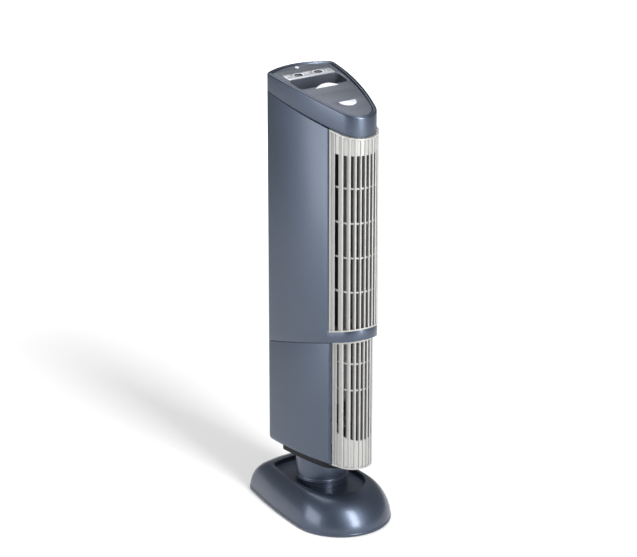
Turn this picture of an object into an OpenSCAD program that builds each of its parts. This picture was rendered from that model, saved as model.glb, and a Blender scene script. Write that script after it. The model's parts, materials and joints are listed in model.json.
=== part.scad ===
// Slim tower fan with a lift-out collector cell, standing on a swivelling neck.
// Millimetres, +Z up, nose towards -Y, origin on the floor under the middle of the base.

/* [Tower plan] */
// Radius of the nose
nose_r = 37; // [35:0.5:39]
// Distance of the nose centre in front of the swivel axis
nose_y = -87.2; // [-88:0.1:-86]
// Sideways place of each rear corner's centre
corner_x = 52; // [50:0.5:54]
// Rearward place of each rear corner's centre
corner_y = 55.5; // [54:0.5:57]
// Radius of the rear corners
corner_r = 9; // [8:0.5:10]
// Radius of the bowed flanks
flank_r = 520; // [450:10:600]
// Radius of the bowed back
back_r = 120; // [115:1:130]
// How far the head's nose stands back from the upper grille
head_setback = 3; // [2:0.5:4]
// How far the lower grille stands back from the band
low_setback = 6.5; // [5:0.5:7]

/* [Tower heights] */
// Underside of the tower
tower_z = 107; // [104:1:108]
// Height of the top plane over the swivel axis
top_z = 705.3; // [704:0.1:707]
// Rise of the top plane towards the back
top_k = 0.166; // [0.16:0.001:0.17]
// Height of the head's lower seam over the swivel axis
seam_z = 676.3; // [675:0.1:677]
// Rise of the head's lower seam towards the back
seam_k = 0.218; // [0.21:0.001:0.225]
// Height of the seam between the housings over the swivel axis
mid_z = 294; // [290:1:298]
// Rise of that seam towards the back
mid_k = -0.263; // [-0.28:0.001:-0.25]
// Height of the band that wraps the nose
band_h = 17; // [15:0.5:19]
// Wall of the housings
wall = 2.5; // [2:0.1:3]
// Gap along the seams
seam_gap = 0.6; // [0.4:0.1:1]

/* [Grilles] */
// Where the nose window starts
grille_y = -80; // [-82:0.5:-78]
// Slats across the upper grille, without the edge pair
upper_slats = 10; // [8:1:10]
// Spacing of the upper slats
upper_pitch = 7.2; // [7:0.1:7.2]
// Slats across the lower grille, without the edge pair
lower_slats = 9; // [7:1:9]
// Spacing of the lower slats
lower_pitch = 6.9; // [6.6:0.1:6.9]
// Thickness of a slat
slat_t = 2.6; // [2:0.1:3]
// Depth of a slat
slat_depth = 10; // [9:0.5:10]
// Top of the upper slots
upper_slots_z1 = 622; // [610:1:630]
// Bottom of the lower slots
lower_slots_z0 = 195; // [188:1:205]

/* [Base] */
// Radius of the base's nose
base_nose_r = 80.8; // [79:0.1:82]
// Rearward place of the base's rear corners
base_corner_y = 104; // [102:0.5:106]
// Sideways place of the base's rear corners
base_corner_x = 42; // [40:0.5:44]
// Radius of the base's rear corners
base_corner_r = 24; // [22:1:26]
// Radius of the base's flanks
base_flank_r = 900; // [800:10:1000]
// Radius of the base's back
base_back_r = 160; // [155:1:170]
// Height of the upright lip
base_lip = 5.6; // [5:0.1:7]
// Height of the dome's crest
base_h = 56; // [55:1:58]
// Half width of the dish round its nose
dish_nose_r = 50; // [48:0.5:51]
// Distance of the dish's nose centre in front of the swivel axis
dish_nose_y = -35; // [-37:0.5:-34]
// Floor of the dish
dish_z = 46; // [45:1:47]

/* [Neck and swivel] */
// Radius of the neck
neck_r = 41; // [39:1:42]
// Radius of the neck's journal in the base
journal_r = 33.92; // [33.9:0.01:33.95]
// Radius of the base's bearing bore
bearing_r = 34; // [34:0.01:34]
// Gear module
gear_m = 1.5; // [1.5:0.5:1.5]
// Teeth on the neck gear
gear_n = 40; // [40:1:40]
// Teeth on the drive pinion
pinion_n = 12; // [12:1:12]

/* [Impeller and cell] */
// Distance of the impeller axis in front of the swivel axis
fan_y = -20; // [-21:0.5:-19]
// Radius of the impeller
fan_r = 34; // [32:0.5:34]
// Blades round the impeller
blade_n = 24; // [18:1:28]
// Rows of blades along the impeller
row_n = 5; // [4:1:6]
// Half width of the collector cell
cell_x = 25; // [24:0.5:25]
// Front of the collector cell
cell_y0 = -93; // [-93:0.5:-92]
// Back of the collector cell
cell_y1 = -66; // [-68:0.5:-65]
// Bottom of the collector cell
cell_z0 = 346; // [345:1:355]
// Collector plates
plate_n = 5; // [3:1:7]

/* [Top] */
// Width of the rim
rim_w = 7; // [6:0.5:8]
// Depth of the top plates below the rim
plate_sink = 1.5; // [1:0.1:2]
// Front edge of the grip well
well_y0 = -11.5; // [-13:0.5:-10]
// Back edge of the grip well
well_y1 = 24.5; // [23:0.5:25]
// Depth of the grip well
well_depth = 27; // [24:1:28]
// Spacing of the oval buttons
oval_gap = 36; // [32:1:40]
// Radius of the half-moon button
moon_r = 15; // [13:0.5:16]

/* [Hidden] */
$fn = 64;

slate = [0.23, 0.26, 0.32];
slate_top = [0.42, 0.45, 0.50];
silver = [0.80, 0.80, 0.79];
steel = [0.62, 0.63, 0.65];
white = [0.92, 0.93, 0.95];
black = [0.08, 0.08, 0.09];
green = [0.10, 0.35, 0.20];
brass = [0.80, 0.65, 0.30];

reach = 200;
gap = 0.4;
corner_min = 3;
over = 1;

// An outline is [nose radius, nose y, corner x, corner y, corner radius, flank radius, back radius].
body_o = [nose_r, nose_y, corner_x, corner_y, corner_r, flank_r, back_r];
head_o = [nose_r - head_setback, nose_y, corner_x, corner_y, corner_r, flank_r, back_r];
low_o = [nose_r - low_setback, nose_y, corner_x, corner_y, corner_r, flank_r, back_r];
base_back = base_corner_y
  - sqrt(pow(base_back_r - base_corner_r, 2) - pow(base_corner_x, 2)) + base_back_r;
base_o = [base_nose_r, base_nose_r - base_back, base_corner_x, base_corner_y,
          base_corner_r, base_flank_r, base_back_r];
dish_o = [dish_nose_r, dish_nose_y, 33, 62, 14, 900, 130];
crest_o = [dish_nose_r + 10, dish_nose_y - 9, 37, 73, 20, 900, 140];
plinth_o = [36, -41, 40, 50, 8, 520, 110];

function bearing_of(v) = atan2(v[1], v[0]);
function arc(c, r, a0, a1, n, first = 0) =
  [for (i = [first : n]) c + r * [cos(a0 + (a1 - a0) * i / n), sin(a0 + (a1 - a0) * i / n)]];
// The point on the left of a to b that lies ra from a and rb from b.
function meet(a, ra, b, rb) =
  let (d = norm(b - a), u = (b - a) / d, t = (ra * ra - rb * rb + d * d) / (2 * d))
  a + u * t + [-u[1], u[0]] * sqrt(ra * ra - t * t);
function flank_centre(o) = meet([0, o[1]], o[5] - o[0], [o[2], o[3]], o[5] - o[4]);
function back_centre(o) = [0, o[3] - sqrt(pow(o[6] - o[4], 2) - pow(o[2], 2))];
// Right half of an outline, inset by d, from the nose tip to the middle of the back.
function half_outline(o, d) =
  let (
    p = [0, o[1]],
    c = flank_centre(o),
    b = back_centre(o),
    r = max(o[4] - d, corner_min),
    q = meet(c, o[5] - d - r, b, o[6] - d - r),
    a0 = bearing_of(p - c),
    a1 = bearing_of(q - c),
    a2 = bearing_of(q - b)
  )
  concat(
    arc(p, o[0] - d, -90, a0, 14),
    arc(c, o[5] - d, a0, a1, 8, 1),
    arc(q, r, a1, a2, 5, 1),
    arc(b, o[6] - d, a2, 90, 6, 1)
  );
function outline(o, d) =
  let (h = half_outline(o, d))
  concat(h, [for (i = [len(h) - 2 : -1 : 1]) [-h[i][0], h[i][1]]]);
function mixed(a, b, t) = [for (i = [0 : len(a) - 1]) a[i] * (1 - t) + b[i] * t];

module prism(o, d, z0, z1) {
  translate([0, 0, z0]) linear_extrude(z1 - z0) polygon(outline(o, d));
}

// Wall between two insets of one outline.
module ring(o, d0, d1, z0, z1) {
  difference() {
    prism(o, d0, z0, z1);
    prism(o, d1, z0 - over, z1 + over);
  }
}

// Space between two planes that rise by k0 and k1 towards the back.
module between(z0, k0, z1, k1) {
  rotate([90, 0, 90]) translate([0, 0, -reach]) linear_extrude(2 * reach)
    polygon([[-reach, z0 - reach * k0], [reach, z0 + reach * k0],
             [reach, z1 + reach * k1], [-reach, z1 - reach * k1]]);
}

module box(x0, x1, y0, y1, z0, z1) {
  translate([x0, y0, z0]) cube([x1 - x0, y1 - y0, z1 - z0]);
}

module mirrored() {
  children();
  mirror([1, 0, 0]) children();
}

module tube(r, hole, h) {
  difference() {
    cylinder(r = r, h = h);
    translate([0, 0, -over]) cylinder(r = hole, h = h + 2 * over);
  }
}

// Pan-head screw: head from z = 0 upwards, shank downwards.
module screw(head_r, head_h, shank_r, length) {
  cylinder(r = head_r, h = head_h, $fn = 24);
  translate([0, 0, -length]) cylinder(r = shank_r, h = length + head_h / 2, $fn = 24);
}

// Places a child at each point of a list.
module at(points) {
  for (p = points) translate(p) children();
}

// Frame whose XY plane is the top plane.
module on_top() {
  translate([0, 0, top_z]) rotate([atan(top_k), 0, 0]) children();
}

module rounded_rect(x, y0, y1, r, z0, z1) {
  translate([0, 0, z0]) linear_extrude(z1 - z0)
    polygon(concat(
      arc([x - r, y0 + r], r, -90, 0, 6), arc([x - r, y1 - r], r, 0, 90, 6),
      arc([r - x, y1 - r], r, 90, 180, 6), arc([r - x, y0 + r], r, 180, 270, 6)));
}

module oval(half_l, half_w, z0, z1) {
  translate([0, 0, z0]) linear_extrude(z1 - z0)
    polygon(concat(
      arc([half_l - half_w, 0], half_w, -90, 90, 12),
      arc([half_w - half_l, 0], half_w, 90, 270, 12)));
}

// ---------------------------------------------------------------- base

foot_h = 2;
shell_z0 = 1.2;
plate_z0 = foot_h;
plate_z1 = 4.6;
dome_slices = 8;
skin = 3;
boss_r = 5;
// Places of the screws that hold the bottom plate
boss_at = [[62, -45, 0], [-62, -45, 0], [54, 60, 0], [-54, 60, 0], [0, -112, 0], [0, 112, 0]];
foot_at = [[50, -72, 0], [-50, -72, 0], [42, 92, 0], [-42, 92, 0]];

dome_power = 1.67;
function dome_z(t) = base_lip + (base_h - base_lip) * pow(1 - pow(1 - t, dome_power), 1 / dome_power);

// Dome that rises from the lip's outline to the crest's.
module dome(inset, drop, z0) {
  hull() {
    prism(base_o, inset, z0, base_lip - drop);
    for (i = [1 : dome_slices])
      let (t = pow(i / dome_slices, 1.5))
      translate([0, 0, z0]) linear_extrude(dome_z(t) - drop - z0)
        polygon(mixed(outline(base_o, inset), outline(crest_o, inset), t));
  }
}

module base_shell() {
  color(slate) difference() {
    union() {
      difference() {
        dome(0, 0, shell_z0);
        difference() {
          dome(skin, skin, shell_z0 - over);
          prism(dish_o, -skin, dish_z - skin, base_h + over);
        }
      }
      intersection() {
        dome(over, over, plate_z1);
        at(boss_at) cylinder(r = boss_r, h = base_h, $fn = 32);
      }
      translate([0, 0, sleeve_z0]) cylinder(r = bearing_r + skin, h = dish_z - sleeve_z0 - over);
    }
    prism(dish_o, 0, dish_z, base_h + over);
    cylinder(r = bearing_r, h = base_h);
    at(boss_at) cylinder(r = 1.3, h = plate_z1 + 12, $fn = 24);
  }
}

module base_bottom_plate() {
  color(black) difference() {
    union() {
      prism(base_o, skin + 4 * gap, plate_z0, plate_z1);
      at(post_at) translate([0, 0, plate_z1 - over / 2]) cylinder(r = 3.5, h = ear_z0 - plate_z1 + over / 2);
    }
    at(boss_at) cylinder(r = 1.8, h = 20, $fn = 24);
    at(post_at) cylinder(r = 1.3, h = base_h, $fn = 24);
  }
}

module ballast_plate() {
  color(steel) difference() {
    prism(base_o, 12, plate_z1, plate_z1 + 6);
    cylinder(r = 57, h = base_h);
    at(boss_at) cylinder(r = boss_r + gap, h = base_h, $fn = 32);
  }
}

module rubber_feet() {
  color(black) at(foot_at) difference() {
    cylinder(r = 9, h = foot_h);
    translate([0, 0, -over]) cylinder(r = 3, h = over + 0.8);
  }
}

module base_screws() {
  color(steel) at(boss_at) translate([0, 0, plate_z0]) mirror([0, 0, 1]) screw(3, 1.4, 1.25, 12);
}

// ---------------------------------------------------------------- swivel

sleeve_z0 = 36;
lip_z = dish_z + 1;
ring_z = lip_z + 9;
web_z0 = sleeve_z0 - 0.4;
gear_z0 = 26;
gear_z1 = 33;
pitch_r = gear_m * gear_n / 2;
pinion_pitch_r = gear_m * pinion_n / 2;
pinion_y = pitch_r + pinion_pitch_r + 0.1;
pressure = 25;
tooth_slack = 0.14;
cable_r = 12;
motor_top = gear_z0 - 0.6;
ear_z0 = motor_top - 1.5;
ear_x = 18;
post_at = [[ear_x, pinion_y, 0], [-ear_x, pinion_y, 0]];
web_screw_at = [for (a = [45 : 90 : 315]) [20 * cos(a), 20 * sin(a), 0]];
flange_screw_at = [for (a = [45 : 90 : 315]) [(neck_r + 3.5) * cos(a), (neck_r + 3.5) * sin(a), 0]];

function involute(a) = tan(a) * 180 / PI - a;
// Half the angle of a tooth at radius r, on a gear of n teeth.
function tooth_half(n, r) =
  let (pr = gear_m * n / 2, br = pr * cos(pressure))
  (90 - tooth_slack / pr * 90 / PI) / n + involute(pressure) - involute(acos(min(1, br / r)));
function gear_outline(n) =
  let (
    pr = gear_m * n / 2,
    low = max(pr * cos(pressure), pr - 1.15 * gear_m),
    radii = [for (i = [0 : 4]) low + (pr + 0.9 * gear_m - low) * i / 4],
    root = pr - 1.2 * gear_m
  )
  [for (k = [0 : n - 1]) let (a = 360 / n * k) each concat(
    [root * [cos(a - tooth_half(n, low)), sin(a - tooth_half(n, low))]],
    [for (r = radii) r * [cos(a - tooth_half(n, r)), sin(a - tooth_half(n, r))]],
    [for (i = [4 : -1 : 0]) radii[i] * [cos(a + tooth_half(n, radii[i])), sin(a + tooth_half(n, radii[i]))]],
    [root * [cos(a + tooth_half(n, low)), sin(a + tooth_half(n, low))]])];

module thrust_washer() {
  color(white) translate([0, 0, dish_z]) tube(neck_r - 0.6, bearing_r + 0.6, 0.9);
}

module neck() {
  color(slate) difference() {
    union() {
      translate([0, 0, web_z0]) cylinder(r = journal_r, h = lip_z - web_z0 + over);
      translate([0, 0, ring_z]) cylinder(r = neck_r + 2, h = 3);
      translate([0, 0, lip_z]) cylinder(r = neck_r, h = tower_z + skin - lip_z + over);
      translate([0, 0, tower_z + skin]) cylinder(r = neck_r + 7, h = skin);
    }
    translate([0, 0, web_z0 + skin]) cylinder(r = journal_r - skin, h = tower_z);
    cylinder(r = cable_r, h = tower_z);
    at(web_screw_at) cylinder(r = 1.3, h = lip_z, $fn = 24);
    at(flange_screw_at) cylinder(r = 1.8, h = tower_z + 20, $fn = 24);
  }
}

module neck_gear() {
  color(white) difference() {
    union() {
      translate([0, 0, gear_z0]) linear_extrude(gear_z1 - gear_z0) polygon(gear_outline(gear_n));
      translate([0, 0, gear_z1]) cylinder(r = bearing_r + skin, h = web_z0 - gear_z1);
    }
    cylinder(r = cable_r, h = lip_z);
    at(web_screw_at) cylinder(r = 1.8, h = lip_z, $fn = 24);
    at(web_screw_at) cylinder(r = 3.4, h = gear_z0 + 2, $fn = 24);
  }
}

module neck_gear_screws() {
  color(steel) at(web_screw_at) translate([0, 0, gear_z0 + 2]) mirror([0, 0, 1]) screw(2.8, 1.8, 1.25, 10);
}

module neck_flange_screws() {
  color(steel) at(flange_screw_at) translate([0, 0, tower_z + 2 * skin]) screw(2.8, 1.8, 1.25, 5.8);
}

module swivel_motor() {
  color(steel) difference() {
    union() {
      translate([0, pinion_y, plate_z1]) cylinder(r = 14, h = motor_top - plate_z1);
      translate([0, 0, ear_z0]) linear_extrude(motor_top - ear_z0)
        polygon(concat(arc([ear_x, pinion_y], 3.5, -90, 90, 12), arc([-ear_x, pinion_y], 3.5, 90, 270, 12)));
    }
    translate([0, pinion_y, plate_z1 + 4]) cylinder(r = 2.55, h = base_h);
    at(post_at) cylinder(r = 1.8, h = base_h, $fn = 24);
  }
}

module swivel_motor_screws() {
  color(brass) at(post_at) translate([0, 0, motor_top]) screw(2.4, 1.6, 1.25, 9);
}

module drive_pinion() {
  color(white) translate([0, pinion_y, 0]) {
    translate([0, 0, gear_z0 + 0.4]) linear_extrude(gear_z1 - gear_z0 - 0.8)
      rotate([0, 0, 180 / pinion_n]) polygon(gear_outline(pinion_n));
    translate([0, 0, plate_z1 + 6]) cylinder(r = 2.5, h = gear_z0 + 1 - plate_z1 - 6);
  }
}

// ---------------------------------------------------------------- housings

plinth_z = 94;

// Dark skirt under the tower, round the neck.
module tower_plinth() {
  color(black) difference() {
    prism(plinth_o, 0, plinth_z, tower_z);
    cylinder(r = neck_r + 0.1, h = tower_z + over);
  }
}

upper_vent = [385, 635];
lower_vent = [196, 262];
vent_x = 38;
inlet_z = 145;
head_post_at = [[51.5, 30, 0], [-51.5, 30, 0], [40, -56, 0], [-40, -56, 0]];
bulk_z = 648;
bulk_t = 3;

module vent_window(z, slack) {
  box(-vent_x - slack, vent_x + slack, 40, reach, z[0] - slack, z[1] + slack);
}

module lower_housing() {
  color(slate) difference() {
    intersection() {
      difference() {
        prism(body_o, 0, tower_z, 330);
        prism(body_o, wall, tower_z + skin, 340);
      }
      between(tower_z, 0, mid_z - seam_gap, mid_k);
    }
    difference() {
      box(-reach, reach, -reach, grille_y, 0, 400);
      prism(low_o, 0, 0, tower_z + skin);
    }
    vent_window(lower_vent, 0);
    cylinder(r = neck_r + 0.1, h = tower_z + 20);
    at(flange_screw_at) cylinder(r = 1.3, h = tower_z + 20, $fn = 24);
    box(-14, 14, 60, reach, inlet_z - 9, inlet_z + 9);
  }
}

module upper_housing() {
  color(slate) difference() {
    intersection() {
      ring(body_o, 0, wall, 200, 720);
      between(mid_z, mid_k, seam_z - seam_gap, seam_k);
    }
    intersection() {
      box(-reach, reach, -reach, grille_y, 0, 800);
      between(mid_z + band_h, mid_k, 900, 0);
    }
    vent_window(upper_vent, 0);
  }
}

module head_shell() {
  color(slate) difference() {
    union() {
      intersection() {
        difference() {
          prism(head_o, 0, 600, 760);
          intersection() {
            prism(head_o, wall, 590, 770);
            between(500, 0, top_z - 5, top_k);
          }
          prism(head_o, rim_w, 590, 770);
        }
        between(seam_z, seam_k, top_z, top_k);
      }
      intersection() {
        prism(head_o, over, 600, 760);
        union() {
          at([head_post_at[0], head_post_at[1]]) translate([0, 0, bulk_z + bulk_t]) cylinder(r = 5, h = 45, $fn = 32);
          at([head_post_at[2], head_post_at[3]]) translate([0, 0, bulk_z + bulk_t]) cylinder(r = 5, h = 28, $fn = 32);
        }
      }
    }
    at(head_post_at) translate([0, 0, bulk_z]) cylinder(r = 1.3, h = 15, $fn = 24);
  }
}

module head_screws() {
  color(steel) at(head_post_at) translate([0, 0, bulk_z]) mirror([0, 0, 1]) screw(2.8, 1.8, 1.25, 14);
}

// ---------------------------------------------------------------- grilles

upper_ribs = [404, 460, 514, 570];
lower_ribs = [240, 284];
rib_h = 2.6;
frame_t = 4;
edge_w = 4;

// Slats, as slabs across the nose, with a pair at the edges.
module slats(n, pitch, edge_x) {
  places = concat([for (i = [0 : n - 1]) (i - (n - 1) / 2) * pitch], [-edge_x, edge_x]);
  for (x = places) box(x - slat_t / 2, x + slat_t / 2, -reach, grille_y, 0, 800);
}

module nose_only(slack) {
  box(-reach, reach, -reach, grille_y - slack, 0, 800);
}

// A slatted nose grille from outline o: slats, cross ribs, side frames and a fluted solid zone.
module nose_grille(o, z0, k0, z1, k1, ribs, solid0, solid1, n, pitch) {
  intersection() {
    nose_only(gap);
    between(z0, k0, z1, k1);
    union() {
      intersection() {
        difference() {
          prism(o, 0, 90, 700);
          translate([0, slat_depth, 0]) prism(o, 0, 80, 710);
        }
        slats(n, pitch, o[0]);
      }
      for (z = ribs) ring(o, 3.5, 5.5, z - rib_h / 2, z + rib_h / 2);
      ring(o, 1.5, frame_t, solid0, solid1);
      intersection() {
        ring(o, 0, frame_t, 90, 700);
        union() {
          box(-reach, reach, grille_y - edge_w, 0, 0, 800);
          between(z0, k0, z0 + 3, k0);
          between(z1 - 3, k1, z1, k1);
        }
      }
    }
  }
}

module upper_grille() {
  color(silver) {
    nose_grille(body_o, mid_z + band_h + gap, mid_k, seam_z - gap, seam_k, upper_ribs,
                upper_slots_z1, 700, upper_slats, upper_pitch);
    // Return flanges behind the housing's edges
    intersection() {
      ring(body_o, wall + 0.1, wall + 2, 330, 640);
      box(-reach, reach, grille_y - edge_w, grille_y + 5, 0, 800);
    }
  }
}

module lower_grille() {
  color(silver) {
    nose_grille(low_o, tower_z + skin + 0.1, 0, mid_z - 2 * seam_gap, mid_k, lower_ribs,
                90, lower_slots_z0, lower_slats, lower_pitch);
    // Return flanges that close the step to the housing
    mirrored() box(29, 36.6, grille_y - gap, grille_y + 2.4, tower_z + skin + 0.2, 314);
  }
}

// Louvred rear panel set into a window of the back wall.
module rear_panel(z, rows) {
  pitch = (z[1] - z[0] - 6) / rows;
  difference() {
    intersection() {
      ring(body_o, 0.2, wall - 0.2, z[0] - 10, z[1] + 10);
      vent_window(z, -gap);
    }
    for (i = [0 : rows - 1], x = [-24, 0, 24])
      box(x - 10, x + 10, 40, reach, z[0] + 3 + pitch * (i + 0.25), z[0] + 3 + pitch * (i + 0.75));
  }
  // Ledges that lap behind the window's side edges
  intersection() {
    ring(body_o, wall + 0.1, wall + 2, z[0] + gap, z[1] - gap);
    mirrored() box(vent_x - 4, vent_x + 5, 40, reach, 0, 800);
  }
  mirrored() intersection() {
    ring(body_o, wall - 0.3, wall + 2, z[0] + gap, z[1] - gap);
    box(vent_x - 4, vent_x - gap, 40, reach, 0, 800);
  }
}

module rear_intake_grille() {
  color(slate) difference() {
    rear_panel(upper_vent, 30);
    for (z = panel_screw_z) translate([0, reach, z]) rotate([90, 0, 0]) cylinder(r = 1.8, h = 2 * reach, $fn = 24);
  }
}

module rear_lower_grille() {
  color(slate) rear_panel(lower_vent, 9);
}

panel_screw_z = [upper_vent[0] + 3.2, upper_vent[1] - 3.2];
back_skin_y = back_centre(body_o)[1] + back_r - 0.2;

module rear_grille_screws() {
  color(steel) for (z = panel_screw_z)
    translate([0, back_skin_y + 0.02, z]) rotate([-90, 0, 0]) screw(2.6, 0.9, 1.25, 8);
}

module power_inlet() {
  color(black) difference() {
    box(-13.6, 13.6, 55, 77, inlet_z - 8.6, inlet_z + 8.6);
    translate([0, 78, inlet_z]) rotate([90, 0, 0]) oval(7.4, 4.2, 0, 14);
    box(-4.5, 4.5, 64, 78, inlet_z - 4.2, inlet_z + 4.2);
    mirrored() translate([4.3, 40, inlet_z]) rotate([-90, 0, 0]) cylinder(r = 1.2, h = 30, $fn = 24);
  }
}

module inlet_pins() {
  color(brass) mirrored() translate([4.3, board_y + 2, inlet_z]) rotate([-90, 0, 0]) cylinder(r = 1.2, h = 19, $fn = 24);
}

// ---------------------------------------------------------------- top

plate_t = 2.5;
well_x = 44;
well_wall = 1.6;
label_x = 43;
label_y = [26, 50];
oval_y = 37;
lens_at = [-3, 64.5, 0];
lens_r = 3.4;
board_post_at = [[34, 31, 0], [-34, 31, 0], [34, 58, 0], [-34, 58, 0]];
board_z = -14;
moon_y = -68.4;
press = 1.2;

module at_ovals() {
  mirrored() translate([oval_gap / 2, oval_y, 0]) children();
}

module half_moon(r, back, z0, z1) {
  translate([0, moon_y, z0]) linear_extrude(z1 - z0) polygon(arc([0, back], r, 180, 360, 24));
}

module control_deck() {
  color(slate_top) difference() {
    union() {
      intersection() {
        prism(head_o, rim_w + gap, 600, 760);
        between(top_z - plate_sink - plate_t, top_k, top_z - plate_sink, top_k);
        box(-reach, reach, well_y0, reach, 600, 760);
      }
      on_top() rounded_rect(well_x + well_wall, well_y0, well_y1 + well_wall, 9, -well_depth - well_wall, -2.4);
      on_top() at(board_post_at) translate([0, 0, board_z + 1.6]) cylinder(r = 3, h = -board_z - 4.5, $fn = 32);
    }
    on_top() {
      rounded_rect(well_x, well_y0 + well_wall, well_y1, 8, -well_depth, 5);
      at_ovals() oval(7.3, 4.8, -10, 5);
      at([lens_at]) translate([0, 0, -10]) cylinder(r = lens_r + 0.1, h = 20);
      at(board_post_at) translate([0, 0, board_z]) cylinder(r = 1.1, h = 8, $fn = 24);
    }
    box(-reach, reach, -reach, well_y0, 600, 760);
  }
}

module control_label() {
  color(silver) on_top() difference() {
    rounded_rect(label_x, label_y[0], label_y[1], 2.5, -1.45, -0.85);
    at_ovals() oval(7.3, 4.8, -10, 5);
  }
}

module indicator_lens() {
  color(white) on_top() at([lens_at]) translate([0, 0, -6]) cylinder(r = lens_r, h = 5.2);
}

module control_board() {
  color(green) on_top() difference() {
    rounded_rect(37, 28, 62, 2, board_z, board_z + 1.6);
    at(board_post_at) translate([0, 0, board_z - over]) cylinder(r = 1.3, h = 8, $fn = 24);
  }
}

module tact_switches() {
  color(black) on_top() at_ovals() {
    box(-3, 3, -3, 3, board_z + 1.6, board_z + 4.4);
    translate([0, 0, board_z + 4.4]) cylinder(r = 1.7, h = 0.9, $fn = 32);
  }
}

module oval_button() {
  oval(7, 4.5, -4.3, -0.35);
  oval(8.2, 5.7, -5.8, -4.3);
}

module left_button() {
  color(black) on_top() translate([-oval_gap / 2, oval_y, 0]) oval_button();
}

module right_button() {
  color(black) on_top() translate([oval_gap / 2, oval_y, 0]) oval_button();
}

// ---------------------------------------------------------------- inner works

fan_z0 = 196;
row_pitch = 88.4;
disc_t = 2;
fan_z1 = fan_z0 + row_pitch * 5;
shaft_r = 4;
low_bulk_z = 180;
motor_z = [125, 160];
ear_ring_r = 40;
ear_angles = [30, 150, 270];
bush_at = [for (a = ear_angles) [ear_ring_r * cos(a), fan_y + ear_ring_r * sin(a), 0]];

module at_fan(z) {
  translate([0, fan_y, z]) children();
}

module lower_bulkhead() {
  color(slate) difference() {
    intersection() {
      prism(body_o, wall + gap, low_bulk_z, low_bulk_z + bulk_t);
      box(-reach, reach, grille_y + 3, reach, 0, 400);
    }
    at_fan(0) cylinder(r = 14, h = 400);
    at(bush_at) cylinder(r = 1.8, h = 400, $fn = 24);
    box(-12, 12, 50, 66, 0, 400);
  }
}

module upper_bulkhead() {
  color(slate) difference() {
    intersection() {
      prism(body_o, wall + gap, bulk_z, bulk_z + bulk_t);
      box(-reach, reach, cell_y1 + 3.5, reach, 0, 800);
    }
    at_fan(0) cylinder(r = 9, h = 800);
    at(head_post_at) cylinder(r = 1.8, h = 800, $fn = 24);
    box(-8, 8, 62, 70, 0, 800);
  }
}

module top_bearing() {
  color(brass) at_fan(bulk_z - 3) tube(9, shaft_r + 0.05, 9);
}

// The scroll spirals out from the back to the outlet.
scroll_a = [60, 215];
scroll_r = [37, 45];
scroll_n = 12;

function spiral(extra) = [for (i = [0 : scroll_n])
  let (t = i / scroll_n, a = scroll_a[0] + (scroll_a[1] - scroll_a[0]) * t,
       r = scroll_r[0] + (scroll_r[1] - scroll_r[0]) * t + extra)
  [r * cos(a), fan_y + r * sin(a)]];

module duct(points) {
  translate([0, 0, low_bulk_z + bulk_t]) linear_extrude(bulk_z - low_bulk_z - bulk_t) polygon(points);
}

module scroll_wall() {
  color(slate_top) duct(concat(
    spiral(0), [[-30.2, cell_y1 + 2.6]], [[-32.2, cell_y1 + 2.6]],
    [for (i = [scroll_n : -1 : 0]) spiral(2)[i]]));
}

module tongue_wall() {
  color(slate_top) duct(concat(
    arc([0, fan_y], 36.5, -5, -45, 8), [[30.2, cell_y1 + 2.6]], [[32.2, cell_y1 + 2.6]],
    arc([0, fan_y], 38.5, -45, -5, 8)));
}

guide_z = [cell_z0 - 4, 646];
guide_t = 2.2;

module cell_guides() {
  color(slate_top) {
    mirrored() difference() {
      box(cell_x - 4, cell_x + guide_t, cell_y0 - guide_t, cell_y1 + guide_t, guide_z[0], guide_z[1]);
      box(0, cell_x + 0.6, cell_y0 - 0.5, cell_y1 + 0.5, 0, 800);
    }
    mirrored() box(cell_x - 6, cell_x + guide_t, cell_y0 - guide_t, cell_y1 + guide_t, guide_z[0] - 2, guide_z[0]);
  }
}

module cell_contacts() {
  color(brass) mirrored() box(cell_x - 5, cell_x - 1, -82, -78, guide_z[0], cell_z0 - 0.4);
}

module ioniser_frame() {
  color(black) difference() {
    box(-28, 28, cell_y1 + 2.8, cell_y1 + 5.8, guide_z[0], guide_z[1]);
    box(-24, 24, 0 - reach, 0, guide_z[0] + 5, guide_z[1] - 5);
  }
}

module ioniser_wires() {
  color(steel) for (x = [-18 : 12 : 18])
    translate([x, cell_y1 + 4.3, guide_z[0] + 5]) cylinder(r = 0.4, h = guide_z[1] - guide_z[0] - 10, $fn = 16);
}

module fan_motor() {
  color(steel) at_fan(motor_z[0]) difference() {
    union() {
      cylinder(r = 30, h = motor_z[1] - motor_z[0]);
      translate([0, 0, -3]) cylinder(r = 12, h = motor_z[1] - motor_z[0] + 9);
    }
    translate([0, 0, -4]) cylinder(r = shaft_r + 0.06, h = 80);
  }
}

module motor_bracket() {
  color(steel) difference() {
    union() {
      at_fan(motor_z[1]) cylinder(r = 31, h = 2);
      for (a = ear_angles) at_fan(motor_z[1]) rotate([0, 0, a]) box(20, ear_ring_r, -6, 6, 0, 2);
      at(bush_at) translate([0, 0, motor_z[1]]) cylinder(r = 6, h = 2, $fn = 32);
    }
    at_fan(0) cylinder(r = 12.2, h = 300);
    at(bush_at) cylinder(r = 1.8, h = 300, $fn = 24);
  }
}

module motor_bushes() {
  color(black) at(bush_at) translate([0, 0, motor_z[1] + 2]) tube(5, 1.8, low_bulk_z - motor_z[1] - 2, $fn = 32);
}

module motor_screws() {
  color(steel) at(bush_at) translate([0, 0, motor_z[1]]) mirror([0, 0, 1]) screw(3.2, 2, 1.6, 26);
}

// One blade, curved forward, from its inner edge to the rim.
function blade_side(s, t) =
  let (r = fan_r - 6.7 + 6.2 * s, a = 13 * s * s)
  [r * cos(a) - t * sin(a + 25 * s), r * sin(a) + t * cos(a + 25 * s)];
blade_outline = concat(
  [for (i = [0 : 4]) blade_side(i / 4, -0.5)],
  [for (i = [4 : -1 : 0]) blade_side(i / 4, 0.5)]);

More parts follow.
